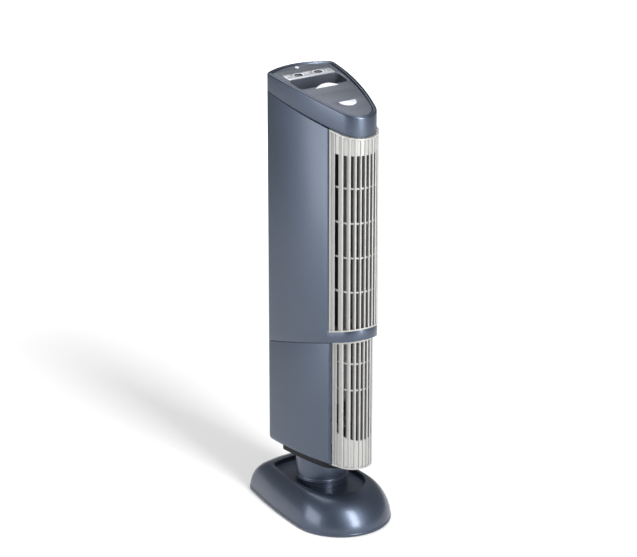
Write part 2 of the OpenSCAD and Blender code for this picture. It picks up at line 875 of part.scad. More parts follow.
module impeller() {
  color(slate_top) at_fan(0) {
    for (i = [0 : row_n]) translate([0, 0, fan_z0 + (fan_z1 - fan_z0) / row_n * i])
      tube(fan_r, i == 0 || i == row_n ? shaft_r : fan_r - 10, disc_t);
    for (k = [0 : blade_n - 1]) rotate([0, 0, 360 / blade_n * k])
      translate([0, 0, fan_z0 + 1]) linear_extrude(fan_z1 - fan_z0) polygon(blade_outline);
  }
}

// Lower stub turns in the motor, upper stub in the top bearing.
module impeller_shaft() {
  color(steel) {
    at_fan(motor_z[0] - 2) cylinder(r = shaft_r, h = fan_z0 + 10 - motor_z[0]);
    at_fan(fan_z1 - 8) cylinder(r = shaft_r, h = bulk_z + 4 - fan_z1 + 8);
  }
}

module impeller_hub() {
  color(black) at_fan(0) {
    translate([0, 0, low_bulk_z + 5]) tube(11, shaft_r, fan_z0 - low_bulk_z - 5);
    translate([0, 0, fan_z1 + disc_t]) tube(7, shaft_r, 2.4);
  }
}

module high_voltage_module() {
  color(black) {
    box(-22, 22, 24, 58, bulk_z + bulk_t, bulk_z + bulk_t + 16);
    mirrored() box(22, 27, 36, 46, bulk_z + bulk_t, bulk_z + bulk_t + 2);
  }
}

board_y = 52;

module power_board() {
  color(green) box(-36, 36, board_y, board_y + 1.6, tower_z + 9, low_bulk_z - 2);
  color(black) {
    box(16, 32, board_y - 9, board_y, 150, 172);
    translate([-22, board_y, 163]) rotate([90, 0, 0]) cylinder(r = 7, h = 11);
  }
  color(white) mirrored() box(26, 34, board_y - 4, board_y, tower_z + skin, tower_z + skin + 12);
}

// ---------------------------------------------------------------- cell

module cell_top_plate() {
  color(slate_top) difference() {
    intersection() {
      prism(head_o, rim_w + gap, 600, 760);
      between(top_z - plate_sink - plate_t, top_k, top_z - plate_sink, top_k);
      box(-reach, reach, -reach, well_y0 - 0.5, 600, 760);
    }
    on_top() half_moon(moon_r + 0.35, 0.35, -10, 5);
    lip_shape(0.1);
  }
}

lip_half = 23;
lip_sag = 13;
lip_t = 2.2;
lip_tilt = 32;
lip_root = [0, -16, -plate_sink - plate_t + 0.1];

// Crescent tab that flares up and back from a root in the plate, over the grip well.
module lip_shape(slack) {
  r = (lip_half * lip_half + lip_sag * lip_sag) / (2 * lip_sag);
  a = asin(lip_half / r) + 4 * slack;
  on_top() translate(lip_root) rotate([lip_tilt, 0, 0]) translate([0, 0, -slack])
    linear_extrude(lip_t + 2 * slack) polygon(arc([0, lip_sag - r], r + slack, 90 - a, 90 + a, 24));
}

module grip_lip() {
  color(silver) lip_shape(0);
}

module cell_head() {
  color(slate_top) difference() {
    intersection() {
      box(-cell_x + 1, cell_x - 1, cell_y0 + 1, cell_y1 - 0.3, 652, 760);
      between(600, 0, top_z - plate_sink - plate_t, top_k);
    }
    box(-cell_x + 3, cell_x - 3, cell_y0 + 3, cell_y1 - 2, 658, 780);
    box(-cell_x + 3, cell_x - 3, cell_y0 + 3, cell_y1 + 1, 676, 780);
  }
}

module moon_switch() {
  color(black) box(-6, 6, -81, -70, 658, 674);
}

module half_moon_button() {
  color(white) on_top() {
    half_moon(moon_r, 0, -4.2, -0.9);
    half_moon(moon_r + 1.2, 1, -5.8, -4.2);
    translate([0, moon_y - 6, -9]) cylinder(r = 3, h = 4, $fn = 32);
  }
}

plate_z = [cell_z0 + 6, 652];

module collector_plates() {
  spread = 2 * (cell_x - 6) / (plate_n - 1);
  color(silver) for (i = [0 : plate_n - 1])
    box(6 - cell_x + spread * i - 0.5, 6 - cell_x + spread * i + 0.5, cell_y0 + 2, cell_y1 - 2, plate_z[0], plate_z[1]);
}

module cell_rails() {
  color(slate_top) mirrored() box(cell_x - 2.5, cell_x, cell_y0, cell_y1, plate_z[0], plate_z[1]);
}

module cell_foot() {
  color(slate_top) box(-cell_x, cell_x, cell_y0, cell_y1, cell_z0, plate_z[0]);
}

base_shell();
base_bottom_plate();
ballast_plate();
rubber_feet();
base_screws();
thrust_washer();
swivel_motor();
swivel_motor_screws();
drive_pinion();
neck();
neck_gear();
neck_gear_screws();
neck_flange_screws();
tower_plinth();
lower_housing();
upper_housing();
head_shell();
head_screws();
upper_grille();
lower_grille();
rear_intake_grille();
rear_lower_grille();
rear_grille_screws();
power_inlet();
inlet_pins();
control_deck();
control_label();
indicator_lens();
control_board();
tact_switches();
high_voltage_module();
power_board();
lower_bulkhead();
upper_bulkhead();
top_bearing();
scroll_wall();
tongue_wall();
cell_guides();
cell_contacts();
ioniser_frame();
ioniser_wires();
fan_motor();
motor_bracket();
motor_bushes();
motor_screws();
impeller();
impeller_shaft();
impeller_hub();
cell_top_plate();
grip_lip();
cell_head();
moon_switch();
collector_plates();
cell_rails();
cell_foot();
left_button();
right_button();
half_moon_button();
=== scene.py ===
import json
import math

import bmesh
import bpy
import numpy as np
from mathutils import Matrix, Vector

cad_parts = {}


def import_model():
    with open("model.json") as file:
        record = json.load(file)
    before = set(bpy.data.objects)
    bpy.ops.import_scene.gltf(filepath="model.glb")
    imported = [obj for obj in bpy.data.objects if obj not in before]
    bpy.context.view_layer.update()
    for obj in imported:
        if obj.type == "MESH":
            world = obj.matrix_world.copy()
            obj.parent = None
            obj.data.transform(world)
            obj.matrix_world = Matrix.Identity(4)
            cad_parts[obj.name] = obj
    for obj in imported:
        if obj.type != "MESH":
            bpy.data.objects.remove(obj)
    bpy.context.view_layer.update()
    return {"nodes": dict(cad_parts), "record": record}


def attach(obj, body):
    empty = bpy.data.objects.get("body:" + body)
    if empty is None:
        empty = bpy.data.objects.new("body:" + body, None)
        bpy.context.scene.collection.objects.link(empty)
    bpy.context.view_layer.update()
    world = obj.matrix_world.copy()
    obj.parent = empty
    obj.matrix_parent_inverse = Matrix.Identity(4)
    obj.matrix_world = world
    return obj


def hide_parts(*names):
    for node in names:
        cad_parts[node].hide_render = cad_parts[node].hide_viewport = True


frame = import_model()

# All shapes are worked out in millimetres and stored in metres.
MM = 0.001

# ------------------------------------------------------------------ outlines

# Nose radius, nose y, corner x, corner y, corner radius, flank radius, back radius.
BODY = (37, -87.2, 52, 55.5, 9, 520, 120)
HEAD = (34,) + BODY[1:]
LOW = (30.5,) + BODY[1:]
BASE = (80.8, -53.85, 42, 104, 24, 900, 160)
DISH = (50, -35, 33, 62, 14, 900, 130)
PLINTH = (36, -41, 38, 36, 10, 520, 100)

NOSE_STEPS = 24
WINDOW_STEPS = 4
ROLL_YS = (0.5, 1.3, 2.3, 3.6, 5.0)
FLANK_STEPS = 18
CORNER_STEPS = 8
BACK_STEPS = 14
SIDE_STEPS = WINDOW_STEPS + len(ROLL_YS) + FLANK_STEPS
# Columns from the nose tip to the edge of the nose window, on each side
WINDOW_COLUMN = NOSE_STEPS + WINDOW_STEPS
WINDOW_Y = -80.0


def arc(centre, radius, start, end, steps, first=0):
    a = start + (end - start) * np.arange(first, steps + 1) / steps
    return np.c_[centre[0] + radius * np.cos(a), centre[1] + radius * np.sin(a)]


def meet(a, ra, b, rb):
    """The point on the left of a to b that lies ra from a and rb from b."""
    a, b = np.array(a, float), np.array(b, float)
    d = np.hypot(*(b - a))
    u = (b - a) / d
    t = (ra * ra - rb * rb + d * d) / (2 * d)
    return a + u * t + np.array([-u[1], u[0]]) * math.sqrt(ra * ra - t * t)


def bearing(v):
    return math.atan2(v[1], v[0])


def outline(o, inset=0.0, window_y=None):
    """Closed outline from the nose tip round the right side; every outline has the same columns."""
    nose_r, nose_y, corner_x, corner_y, corner_r, flank_r, back_r = o
    nose = np.array([0, nose_y])
    flank = meet(nose, flank_r - nose_r, (corner_x, corner_y), flank_r - corner_r)
    back = np.array([0, corner_y - math.sqrt((back_r - corner_r) ** 2 - corner_x**2)])
    r = max(corner_r - inset, 1.0)
    corner = meet(flank, flank_r - inset - r, back, back_r - inset - r)
    a0, a1, a2 = bearing(nose - flank), bearing(corner - flank), bearing(corner - back)
    flank_in = flank_r - inset
    if window_y is None:
        angles = a0 + (a1 - a0) * np.arange(1, SIDE_STEPS + 1) / SIDE_STEPS
    else:
        marks = [window_y] + [window_y + y for y in ROLL_YS]
        at = [math.asin((y - flank[1]) / flank_in) for y in marks]
        angles = np.r_[np.linspace(a0, at[0], WINDOW_STEPS + 1)[1:], at[1:],
                       np.linspace(at[-1], a1, FLANK_STEPS + 1)[1:]]
    side = np.c_[flank[0] + flank_in * np.cos(angles), flank[1] + flank_in * np.sin(angles)]
    half = np.vstack([arc(nose, nose_r - inset, -math.pi / 2, a0, NOSE_STEPS), side,
                      arc(corner, r, a1, a2, CORNER_STEPS, 1),
                      arc(back, back_r - inset, a2, math.pi / 2, BACK_STEPS, 1)])
    left = half[-2:0:-1] * (-1, 1)
    return np.vstack([half, left])


COLUMNS = len(outline(BODY))


def circle_under(points, radius):
    """Points on a circle about the swivel axis, in the directions of the given points."""
    return points / np.hypot(*points.T)[:, None] * radius


def half_width(o, y):
    """Half width of an outline at depth y, on its nose and flank."""
    p = outline(o)[: WINDOW_COLUMN + 12]
    return float(np.interp(y, p[:, 1], p[:, 0]))


# ------------------------------------------------------------------ planes and heights

# A sloping plane is a height on the swivel axis and a rise for each millimetre of y.
TOWER_Z, TOP_Z, TOP_K = 107.0, 705.3, 0.166
SEAM_Z, SEAM_K, MID_Z, MID_K = 676.3, 0.218, 294.0, -0.263
BAND_H, SEAM_GAP, WALL = 17.0, 0.6, 2.5
NECK_R, NECK_HOLE_R = 41.0, 41.2
# Share of the rim's arch that the plates of the top take where it stands above their plane
PLATE_RISE = 0.4
UPPER_SLOTS_TOP, LOWER_SLOTS_BOTTOM = 622.0, 195.0
TOP_ANGLE = math.atan(TOP_K)
TOP_FRAME = Matrix.Translation((0, 0, TOP_Z * MM)) @ Matrix.Rotation(TOP_ANGLE, 4, "X")


def plane(z, k=0.0):
    return lambda y: z + k * y


def crown(y):
    """Height of the slightly arched rim over the mean plane of the top."""
    return 3.0 - 0.0018 * y - 0.00046 * y * y


def top_at(below=0.0):
    return lambda y: TOP_Z + TOP_K * y + crown(y) - below


def seam_at(above=0.0):
    return plane(SEAM_Z + above, SEAM_K)


def mid_at(above=0.0):
    return plane(MID_Z + above, MID_K)


def row(points, height):
    """Lifts plan points to a height, which is a number or a function of y."""
    z = height(points[:, 1]) if callable(height) else np.full(len(points), float(height))
    return np.c_[points, z]


# ------------------------------------------------------------------ mesh helpers


def link(obj):
    bpy.context.scene.collection.objects.link(obj)
    return obj


def freeze(obj):
    """Turns an object with modifiers into a plain mesh."""
    graph = bpy.context.evaluated_depsgraph_get()
    mesh = bpy.data.meshes.new_from_object(obj.evaluated_get(graph))
    obj.modifiers.clear()
    obj.data = mesh
    return obj


def smooth(obj, degrees=32):
    mesh = obj.data
    mesh.polygons.foreach_set("use_smooth", [True] * len(mesh.polygons))
    mesh.set_sharp_from_angle(angle=math.radians(degrees))
    return obj


def tidy(obj, merge=0.00002, recalc=False):
    """Merges doubles and drops loose points."""
    bm = bmesh.new()
    bm.from_mesh(obj.data)
    bmesh.ops.remove_doubles(bm, verts=bm.verts, dist=merge)
    bmesh.ops.dissolve_degenerate(bm, edges=bm.edges, dist=0.000005)
    bmesh.ops.delete(bm, geom=[v for v in bm.verts if not v.link_faces], context="VERTS")
    if recalc:
        bmesh.ops.recalc_face_normals(bm, faces=bm.faces)
    bm.to_mesh(obj.data)
    bm.free()
    return obj


def piece(name, verts, faces, material):
    mesh = bpy.data.meshes.new(name)
    mesh.from_pydata([tuple(v) for v in np.asarray(verts, float) * MM], [], faces)
    mesh.materials.append(material)
    obj = link(bpy.data.objects.new(name, mesh))
    return tidy(obj)


def join(name, *objs):
    """One object from several meshes, each keeping its own material."""
    bm = bmesh.new()
    mesh = bpy.data.meshes.new(name)
    for o in objs:
        start = len(bm.faces)
        slot = len(mesh.materials)
        mesh.materials.append(o.data.materials[0])
        bm.from_mesh(o.data)
        bm.faces.ensure_lookup_table()
        for f in bm.faces[start:]:
            f.material_index = slot
    bm.to_mesh(mesh)
    bm.free()
    for o in objs:
        bpy.data.objects.remove(o)
    return link(bpy.data.objects.new(name, mesh))


def bevel(obj, width, segments=2, degrees=35):
    """Rounds the edges that are sharper than an angle."""
    m = obj.modifiers.new("bevel", "BEVEL")
    m.width = width * MM
    m.segments = segments
    m.limit_method = "ANGLE"
    m.angle_limit = math.radians(degrees)
    return obj


def thicken(obj, wall):
    """Gives a skin its wall, towards the inside."""
    m = obj.modifiers.new("wall", "SOLIDIFY")
    m.thickness = wall * MM
    m.offset = -1
    m.use_even_offset = True
    m.use_quality_normals = True
    return obj


def loft(name, rows, material, ring_rows=False, skip=None, closed_columns=True):
    """Quads between rows of equal length. ring_rows joins the last row to the first."""
    n = len(rows[0])
    faces = []
    steps = len(rows) if ring_rows else len(rows) - 1
    columns = n if closed_columns else n - 1
    for i in range(steps):
        for j in range(columns):
            if skip and skip(i, j):
                continue
            a, b = i * n, ((i + 1) % len(rows)) * n
            faces.append((a + j, a + (j + 1) % n, b + (j + 1) % n, b + j))
    return piece(name, np.vstack(rows), faces, material)


def capped(obj):
    """Closes the open ends of a bar and turns its faces outwards."""
    bm = bmesh.new()
    bm.from_mesh(obj.data)
    bmesh.ops.holes_fill(bm, edges=[e for e in bm.edges if e.is_boundary])
    bmesh.ops.recalc_face_normals(bm, faces=bm.faces)
    bm.to_mesh(obj.data)
    bm.free()
    return obj


def face_up(obj):
    """Turns the faces of an open sheet so that most of them look up."""
    if sum(f.normal.z for f in obj.data.polygons) < 0:
        obj.data.flip_normals()
    return obj


def swept(name, o, section, material, window_y=WINDOW_Y - 0.4):
    """A bar along the nose between the window's edges; section is (inset, height) round its outside."""
    rows = []
    for inset, height in section:
        p = outline(o, inset, window_y)
        nose = np.vstack([p[-WINDOW_COLUMN:], p[: WINDOW_COLUMN + 1]])
        rows.append(row(nose, height))
    return capped(loft(name, rows, material, ring_rows=True, closed_columns=False))


def column(name, points, bottom, top, material):
    """An upright bar with the given plan, between two heights."""
    p = np.array(points, float)
    n = len(p)
    faces = [(j, (j + 1) % n, n + (j + 1) % n, n + j) for j in range(n)]
    faces += [tuple(range(n))[::-1], tuple(range(n, 2 * n))]
    obj = piece(name, np.vstack([row(p, bottom), row(p, top)]), faces, material)
    return tidy(obj, recalc=True)


def lathe(name, profile, material, steps=128):
    """A closed profile of (radius, height) turned about the swivel axis."""
    a = 2 * math.pi * np.arange(steps) / steps
    rows = [row(np.c_[r * np.cos(a), r * np.sin(a)], z) for r, z in profile]
    return loft(name, rows, material, ring_rows=True)


def crowned(obj):
    """Lets a piece of the flat top follow the arched rim, more at the nose than behind."""
    bm = bmesh.new()
    bm.from_mesh(obj.data)
    for y in range(-125, 90, 5):
        whole = bm.verts[:] + bm.edges[:] + bm.faces[:]
        bmesh.ops.bisect_plane(bm, geom=whole, plane_co=(0, y * MM, 0), plane_no=(0, 1, 0))
    for v in bm.verts:
        rise = crown(v.co.y / MM)
        v.co.z += (PLATE_RISE * rise if rise > 0 else rise) * MM
    bm.to_mesh(obj.data)
    bm.free()
    return obj


def plate(name, loops, low, high, edge, material):
    """Plate with rounded edges and holes, drawn in the top's own plane and arched like the rim."""
    curve = bpy.data.curves.new(name, "CURVE")
    curve.dimensions = "2D"
    curve.fill_mode = "BOTH"
    curve.extrude = ((high - low) / 2 - edge) * MM
    curve.bevel_depth = edge * MM
    curve.bevel_resolution = 2
    curve.offset = -edge * MM
    for loop in loops:
        spline = curve.splines.new("POLY")
        spline.points.add(len(loop) - 1)
        for point, (x, y) in zip(spline.points, loop):
            point.co = (x * MM, y * MM, 0, 1)
        spline.use_cyclic_u = True
    shape = link(bpy.data.objects.new(name + "_curve", curve))
    graph = bpy.context.evaluated_depsgraph_get()
    mesh = bpy.data.meshes.new_from_object(shape.evaluated_get(graph))
    bpy.data.objects.remove(shape)
    mesh.transform(TOP_FRAME @ Matrix.Translation((0, 0, (low + high) / 2 * MM)))
    mesh.materials.clear()
    mesh.materials.append(material)
    obj = link(bpy.data.objects.new(name, mesh))
    tidy(obj, merge=0.00001, recalc=True)
    return smooth(crowned(obj), 40)


# ------------------------------------------------------------------ shader groups


def shader_group(name, inputs, outputs):
    group = bpy.data.node_groups.new(name, "ShaderNodeTree")
    for label, kind, value in inputs:
        socket = group.interface.new_socket(label, in_out="INPUT", socket_type=kind)
        if value is not None:
            socket.default_value = value
    for label, kind in outputs:
        group.interface.new_socket(label, in_out="OUTPUT", socket_type=kind)
    return group, group.nodes.new("NodeGroupInput"), group.nodes.new("NodeGroupOutput")


def put(tree, socket, value):
    """Links an output to an input socket, or sets the socket to a number or a colour."""
    if isinstance(value, bpy.types.NodeSocket):
        tree.links.new(value, socket)
    else:
        socket.default_value = (*value, 1) if isinstance(value, tuple) else value


def math_node(tree, operation, a, b=None, clamp=False):
    """A maths node in a shader or geometry tree, fed by numbers or outputs."""
    n = tree.nodes.new("ShaderNodeMath")
    n.operation = operation
    n.use_clamp = clamp
    put(tree, n.inputs[0], a)
    if b is not None:
        put(tree, n.inputs[1], b)
    return n.outputs[0]


def noise(tree, vector, scale, detail=3.0, roughness=0.5):
    n = tree.nodes.new("ShaderNodeTexNoise")
    put(tree, n.inputs["Scale"], scale)
    n.inputs["Detail"].default_value = detail
    n.inputs["Roughness"].default_value = roughness
    tree.links.new(vector, n.inputs["Vector"])
    return n.outputs["Fac"]


def ramp(tree, value, low, high, out_low=0.0, out_high=1.0):
    """Smooth step from one output to the other, as the value goes from low to high."""
    n = tree.nodes.new("ShaderNodeMapRange")
    n.interpolation_type = "SMOOTHSTEP"
    for label, v in (("From Min", low), ("From Max", high), ("To Min", out_low), ("To Max", out_high)):
        n.inputs[label].default_value = v
    tree.links.new(value, n.inputs["Value"])
    return n.outputs["Result"]


def surface_grain():
    """Moulded or sprayed skin: a fine height and a slow mottle."""
    tree, inp, out = shader_group(
        "surface_grain",
        [("Vector", "NodeSocketVector", None), ("Fine scale", "NodeSocketFloat", 900.0),
         ("Slow scale", "NodeSocketFloat", 9.0)],
        [("Height", "NodeSocketFloat"), ("Mottle", "NodeSocketFloat")])
    for output, scale, detail in (("Height", "Fine scale", 2.0), ("Mottle", "Slow scale", 4.0)):
        wave = noise(tree, inp.outputs["Vector"], inp.outputs[scale], detail)
        tree.links.new(wave, out.inputs[output])
    return tree


def paint_flake():
    """Metal flakes in paint: a sparse mask of tiny cells, and a tone for each."""
    tree, inp, out = shader_group(
        "paint_flake",
        [("Vector", "NodeSocketVector", None), ("Scale", "NodeSocketFloat", 2600.0)],
        [("Mask", "NodeSocketFloat"), ("Tone", "NodeSocketFloat")])
    cells = tree.nodes.new("ShaderNodeTexVoronoi")
    tree.links.new(inp.outputs["Vector"], cells.inputs["Vector"])
    tree.links.new(inp.outputs["Scale"], cells.inputs["Scale"])
    split = tree.nodes.new("ShaderNodeSeparateColor")
    tree.links.new(cells.outputs["Color"], split.inputs["Color"])
    tree.links.new(math_node(tree, "GREATER_THAN", split.outputs[0], 0.72), out.inputs["Mask"])
    tree.links.new(split.outputs[1], out.inputs["Tone"])
    return tree


def edge_wear():
    """Where an edge is rubbed: pointed places, broken up by noise."""
    tree, inp, out = shader_group(
        "edge_wear",
        [("Vector", "NodeSocketVector", None), ("Reach", "NodeSocketFloat", 0.53)],
        [("Mask", "NodeSocketFloat")])
    geometry = tree.nodes.new("ShaderNodeNewGeometry")
    near = math_node(tree, "SUBTRACT", geometry.outputs["Pointiness"], inp.outputs["Reach"])
    sharp = math_node(tree, "MULTIPLY", near, 14.0, clamp=True)
    patches = ramp(tree, noise(tree, inp.outputs["Vector"], 60.0), 0.42, 0.62)
    tree.links.new(math_node(tree, "MULTIPLY", sharp, patches, clamp=True), out.inputs["Mask"])
    return tree


GRAIN = surface_grain()
FLAKE = paint_flake()
WEAR = edge_wear()


class Finish:
    """A material around one Principled shader, fed by shared effects."""

    def __init__(self, name, colour, roughness, metallic=0.0, specular=0.5, coat=0.0, coat_roughness=0.1):
        self.material = bpy.data.materials.new(name)
        self.material.use_nodes = True
        self.tree = self.material.node_tree
        self.shader = self.tree.nodes["Principled BSDF"]
        self.colour = colour
        self.set("Base Color", (*colour, 1))
        self.set("Roughness", roughness)
        self.set("Metallic", metallic)
        self.set("Specular IOR Level", specular)
        self.set("Coat Weight", coat)
        self.set("Coat Roughness", coat_roughness)
        coords = self.tree.nodes.new("ShaderNodeTexCoord")
        self.vector = coords.outputs["Object"]

    def set(self, socket, value):
        self.shader.inputs[socket].default_value = value

    def effect(self, group, **values):
        n = self.tree.nodes.new("ShaderNodeGroup")
        n.node_tree = group
        self.tree.links.new(self.vector, n.inputs["Vector"])
        for label, value in values.items():
            n.inputs[label.replace("_", " ")].default_value = value
        return n.outputs

    def mix(self, factor, a, b):
        n = self.tree.nodes.new("ShaderNodeMix")
        n.data_type = "RGBA"
        for label, value in (("Factor", factor), ("A", a), ("B", b)):
            put(self.tree, n.inputs[label], value)
        return n.outputs["Result"]

    def feed(self, socket, output):
        self.tree.links.new(output, self.shader.inputs[socket])

    def bump(self, height, distance, strength=1.0):
        n = self.tree.nodes.new("ShaderNodeBump")
        n.inputs["Distance"].default_value = distance
        n.inputs["Strength"].default_value = strength
        self.tree.links.new(height, n.inputs["Height"])
        self.tree.links.new(n.outputs["Normal"], self.shader.inputs["Normal"])


def shade(colour, factor):
    return tuple(min(1.0, c * factor) for c in colour)


def slate_paint():
    f = Finish("slate_metallic_paint", (0.056, 0.073, 0.107), 0.40, metallic=0.8, specular=0.45,
               coat=0.5, coat_roughness=0.2)
    flake = f.effect(FLAKE)
    grain = f.effect(GRAIN, Fine_scale=420.0, Slow_scale=7.0)
    slow = f.mix(grain["Mottle"], shade(f.colour, 0.94), shade(f.colour, 1.06))
    glint = math_node(f.tree, "MULTIPLY", flake["Mask"], flake["Tone"])
    sparkle = f.mix(math_node(f.tree, "MULTIPLY", glint, 0.35), slow, shade(f.colour, 2.2))
    rubbed = math_node(f.tree, "MULTIPLY", f.effect(WEAR, Reach=0.545)["Mask"], 0.25)
    f.feed("Base Color", f.mix(rubbed, sparkle, shade(f.colour, 1.8)))
    f.feed("Roughness", ramp(f.tree, grain["Mottle"], 0.3, 0.7, 0.375, 0.42))
    f.bump(grain["Height"], 0.00003, 0.35)
    return f.material


def moulded(name, colour, roughness, scale=1400.0, depth=0.00004, wear=1.5, **more):
    """Moulded plastic with a spark-eroded grain, a slow mottle and rubbed edges."""
    f = Finish(name, colour, roughness, **more)
    grain = f.effect(GRAIN, Fine_scale=scale, Slow_scale=14.0)
    tone = f.mix(grain["Mottle"], shade(colour, 0.9), shade(colour, 1.1))
    rubbed = math_node(f.tree, "MULTIPLY", f.effect(WEAR, Reach=0.54)["Mask"], 0.4)
    f.feed("Base Color", f.mix(rubbed, tone, shade(colour, wear)))
    f.feed("Roughness", ramp(f.tree, grain["Mottle"], 0.25, 0.75, roughness - 0.04, roughness + 0.05))
    f.bump(grain["Height"], depth, 0.5)
    return f.material


def grille_paint(name, radius):
    """Silver paint with fine flake, and painted shade that darkens it to near black deep inside the slots,
    behind the nose.
    """
    f = Finish(name, (0.36, 0.36, 0.35), 0.36, metallic=0.35, specular=0.5)
    flake = f.effect(FLAKE, Scale=3200.0)
    grain = f.effect(GRAIN, Fine_scale=700.0, Slow_scale=22.0)
    slow = f.mix(grain["Mottle"], shade(f.colour, 0.95), shade(f.colour, 1.05))
    glint = math_node(f.tree, "MULTIPLY", flake["Mask"], 0.12)
    silver = f.mix(glint, slow, (0.75, 0.75, 0.75))
    m = f.tree.nodes.new("ShaderNodeMapping")
    m.inputs["Location"].default_value = (0, -BODY[1] * MM, 0)
    m.inputs["Scale"].default_value = (1, 1, 0)
    f.tree.links.new(f.vector, m.inputs["Vector"])
    reach = f.tree.nodes.new("ShaderNodeVectorMath")
    reach.operation = "LENGTH"
    f.tree.links.new(m.outputs["Vector"], reach.inputs[0])
    # Painted shade: the silver holds at the front and fades to near black between the vanes.
    painted_slot_shade_fade = ramp(f.tree, reach.outputs["Value"], (radius - 9.0) * MM, (radius - 2.2) * MM)
    f.feed("Base Color", f.mix(painted_slot_shade_fade, (0.035, 0.036, 0.038), silver))
    f.feed("Roughness", ramp(f.tree, grain["Mottle"], 0.3, 0.7, 0.33, 0.4))
    f.bump(grain["Height"], 0.00003, 0.4)
    return f.material


def brushed(name, colour, roughness, stretch=(1.0, 1.0, 60.0), metallic=1.0):
    """Metal with a lie of fine scratches along one direction."""
    f = Finish(name, colour, roughness, metallic=metallic)
    m = f.tree.nodes.new("ShaderNodeMapping")
    m.inputs["Scale"].default_value = stretch
    f.tree.links.new(f.vector, m.inputs["Vector"])
    lines = noise(f.tree, m.outputs["Vector"], 240.0, 4.0, 0.7)
    f.feed("Base Color", f.mix(lines, shade(colour, 0.85), shade(colour, 1.1)))
    f.feed("Roughness", ramp(f.tree, lines, 0.2, 0.8, roughness - 0.08, roughness + 0.1))
    f.bump(lines, 0.00002, 0.4)
    return f.material


def solder_mask():
    """Circuit board: green mask over tracks, as a brick pattern in three greens."""
    f = Finish("circuit_board_mask", (0.02, 0.13, 0.06), 0.35, coat=0.4)
    m = f.tree.nodes.new("ShaderNodeTexBrick")
    m.inputs["Scale"].default_value = 180.0
    m.inputs["Mortar Size"].default_value = 0.06
    m.inputs["Color1"].default_value = (0.02, 0.13, 0.06, 1)
    m.inputs["Color2"].default_value = (0.03, 0.17, 0.08, 1)
    m.inputs["Mortar"].default_value = (0.05, 0.24, 0.12, 1)
    f.tree.links.new(f.vector, m.inputs["Vector"])
    f.feed("Base Color", m.outputs["Color"])
    f.bump(m.outputs["Fac"], 0.00005, 0.4)
    return f.material


def printed_label():
    """Silver film with printed rings and arcs round the buttons, darker towards the back."""
    f = Finish("label_film", (0.5, 0.52, 0.56), 0.34, metallic=0.55)
    t = f.tree
    m = t.nodes.new("ShaderNodeMapping")
    m.vector_type = "TEXTURE"
    m.inputs["Location"].default_value = (0, 0, TOP_Z * MM)
    m.inputs["Rotation"].default_value = (TOP_ANGLE, 0, 0)
    t.links.new(f.vector, m.inputs["Vector"])
    split = t.nodes.new("ShaderNodeSeparateXYZ")
    t.links.new(m.outputs["Vector"], split.inputs["Vector"])

    def far(x0, y0, squash):
        """Distance in millimetres from a point and its mirror point, squashed in x."""
        dx = math_node(t, "SUBTRACT", math_node(t, "ABSOLUTE", split.outputs[0]), x0 * MM)
        dx = math_node(t, "MULTIPLY", dx, 1000.0 / squash)
        dy = math_node(t, "MULTIPLY", math_node(t, "SUBTRACT", split.outputs[1], y0 * MM), 1000.0)
        return math_node(t, "SQRT", math_node(t, "ADD", math_node(t, "POWER", dx, 2.0),
                                              math_node(t, "POWER", dy, 2.0)))

    def line(distance, radius, half):
        off = math_node(t, "ABSOLUTE", math_node(t, "SUBTRACT", distance, radius))
        return ramp(t, off, half * 0.6, half, 1.0, 0.0)

    ovals = far(OVAL_X, OVAL_Y, 1.45)
    back = ramp(t, split.outputs[1], (OVAL_Y + 0.5) * MM, (OVAL_Y + 10) * MM)
    ring = line(ovals, 6.1, 0.75)
    behind = ramp(t, split.outputs[1], (OVAL_Y - 3) * MM, OVAL_Y * MM)
    outer = math_node(t, "MULTIPLY", line(ovals, 8.6, 0.7), behind)
    band = line(far(OVAL_X, OVAL_Y + 16, 2.2), 8.0, 0.7)
    marks = line(far(36.5, OVAL_Y - 2.5, 1.0), 1.6, 0.6)
    ink = math_node(t, "MAXIMUM", math_node(t, "MAXIMUM", outer, band), marks)
    ink = math_node(t, "MULTIPLY", ink, 0.75)
    grain = f.effect(GRAIN, Fine_scale=1100.0, Slow_scale=30.0)
    film = f.mix(back, f.colour, (0.12, 0.13, 0.16))
    film = f.mix(math_node(t, "MULTIPLY", ring, 0.8), film, (0.72, 0.74, 0.78))
    f.feed("Base Color", f.mix(ink, film, (0.05, 0.055, 0.07)))
    f.bump(grain["Height"], 0.00002, 0.4)
    return f.material


def lens_plastic():
    f = Finish("white_lens_plastic", (0.62, 0.64, 0.70), 0.28, coat=0.3)
    f.set("Subsurface Weight", 0.15)
    f.set("Subsurface Radius", (0.002, 0.002, 0.002))
    grain = f.effect(GRAIN, Fine_scale=900.0, Slow_scale=40.0)
    f.feed("Base Color", f.mix(grain["Mottle"], (0.58, 0.61, 0.67), (0.65, 0.67, 0.73)))
    f.bump(grain["Height"], 0.00002, 0.3)
    return f.material


OVAL_X, OVAL_Y = 18, 37

SLATE = slate_paint()
TOP = moulded("top_satin_plastic", (0.085, 0.096, 0.122), 0.42, scale=1700.0, depth=0.00003, wear=1.3,
              metallic=0.3)
DARK = moulded("dark_moulded_plastic", (0.008, 0.009, 0.012), 0.5, specular=0.15)
INNER = moulded("inner_moulded_plastic", (0.022, 0.023, 0.027), 0.6)
FAN_PLASTIC = moulded("impeller_plastic", (0.07, 0.072, 0.08), 0.5)
GLOSS_BLACK = moulded("button_gloss_black", (0.022, 0.023, 0.028), 0.18, scale=500.0, depth=0.00001)
ACETAL = moulded("acetal_natural", (0.78, 0.77, 0.72), 0.35, wear=1.1)
RUBBER = moulded("foot_rubber", (0.022, 0.022, 0.023), 0.75, scale=900.0, depth=0.00008)
SILVER = grille_paint("grille_silver_paint", BODY[0])
LOW_SILVER = grille_paint("lower_grille_silver_paint", LOW[0])
LABEL = printed_label()
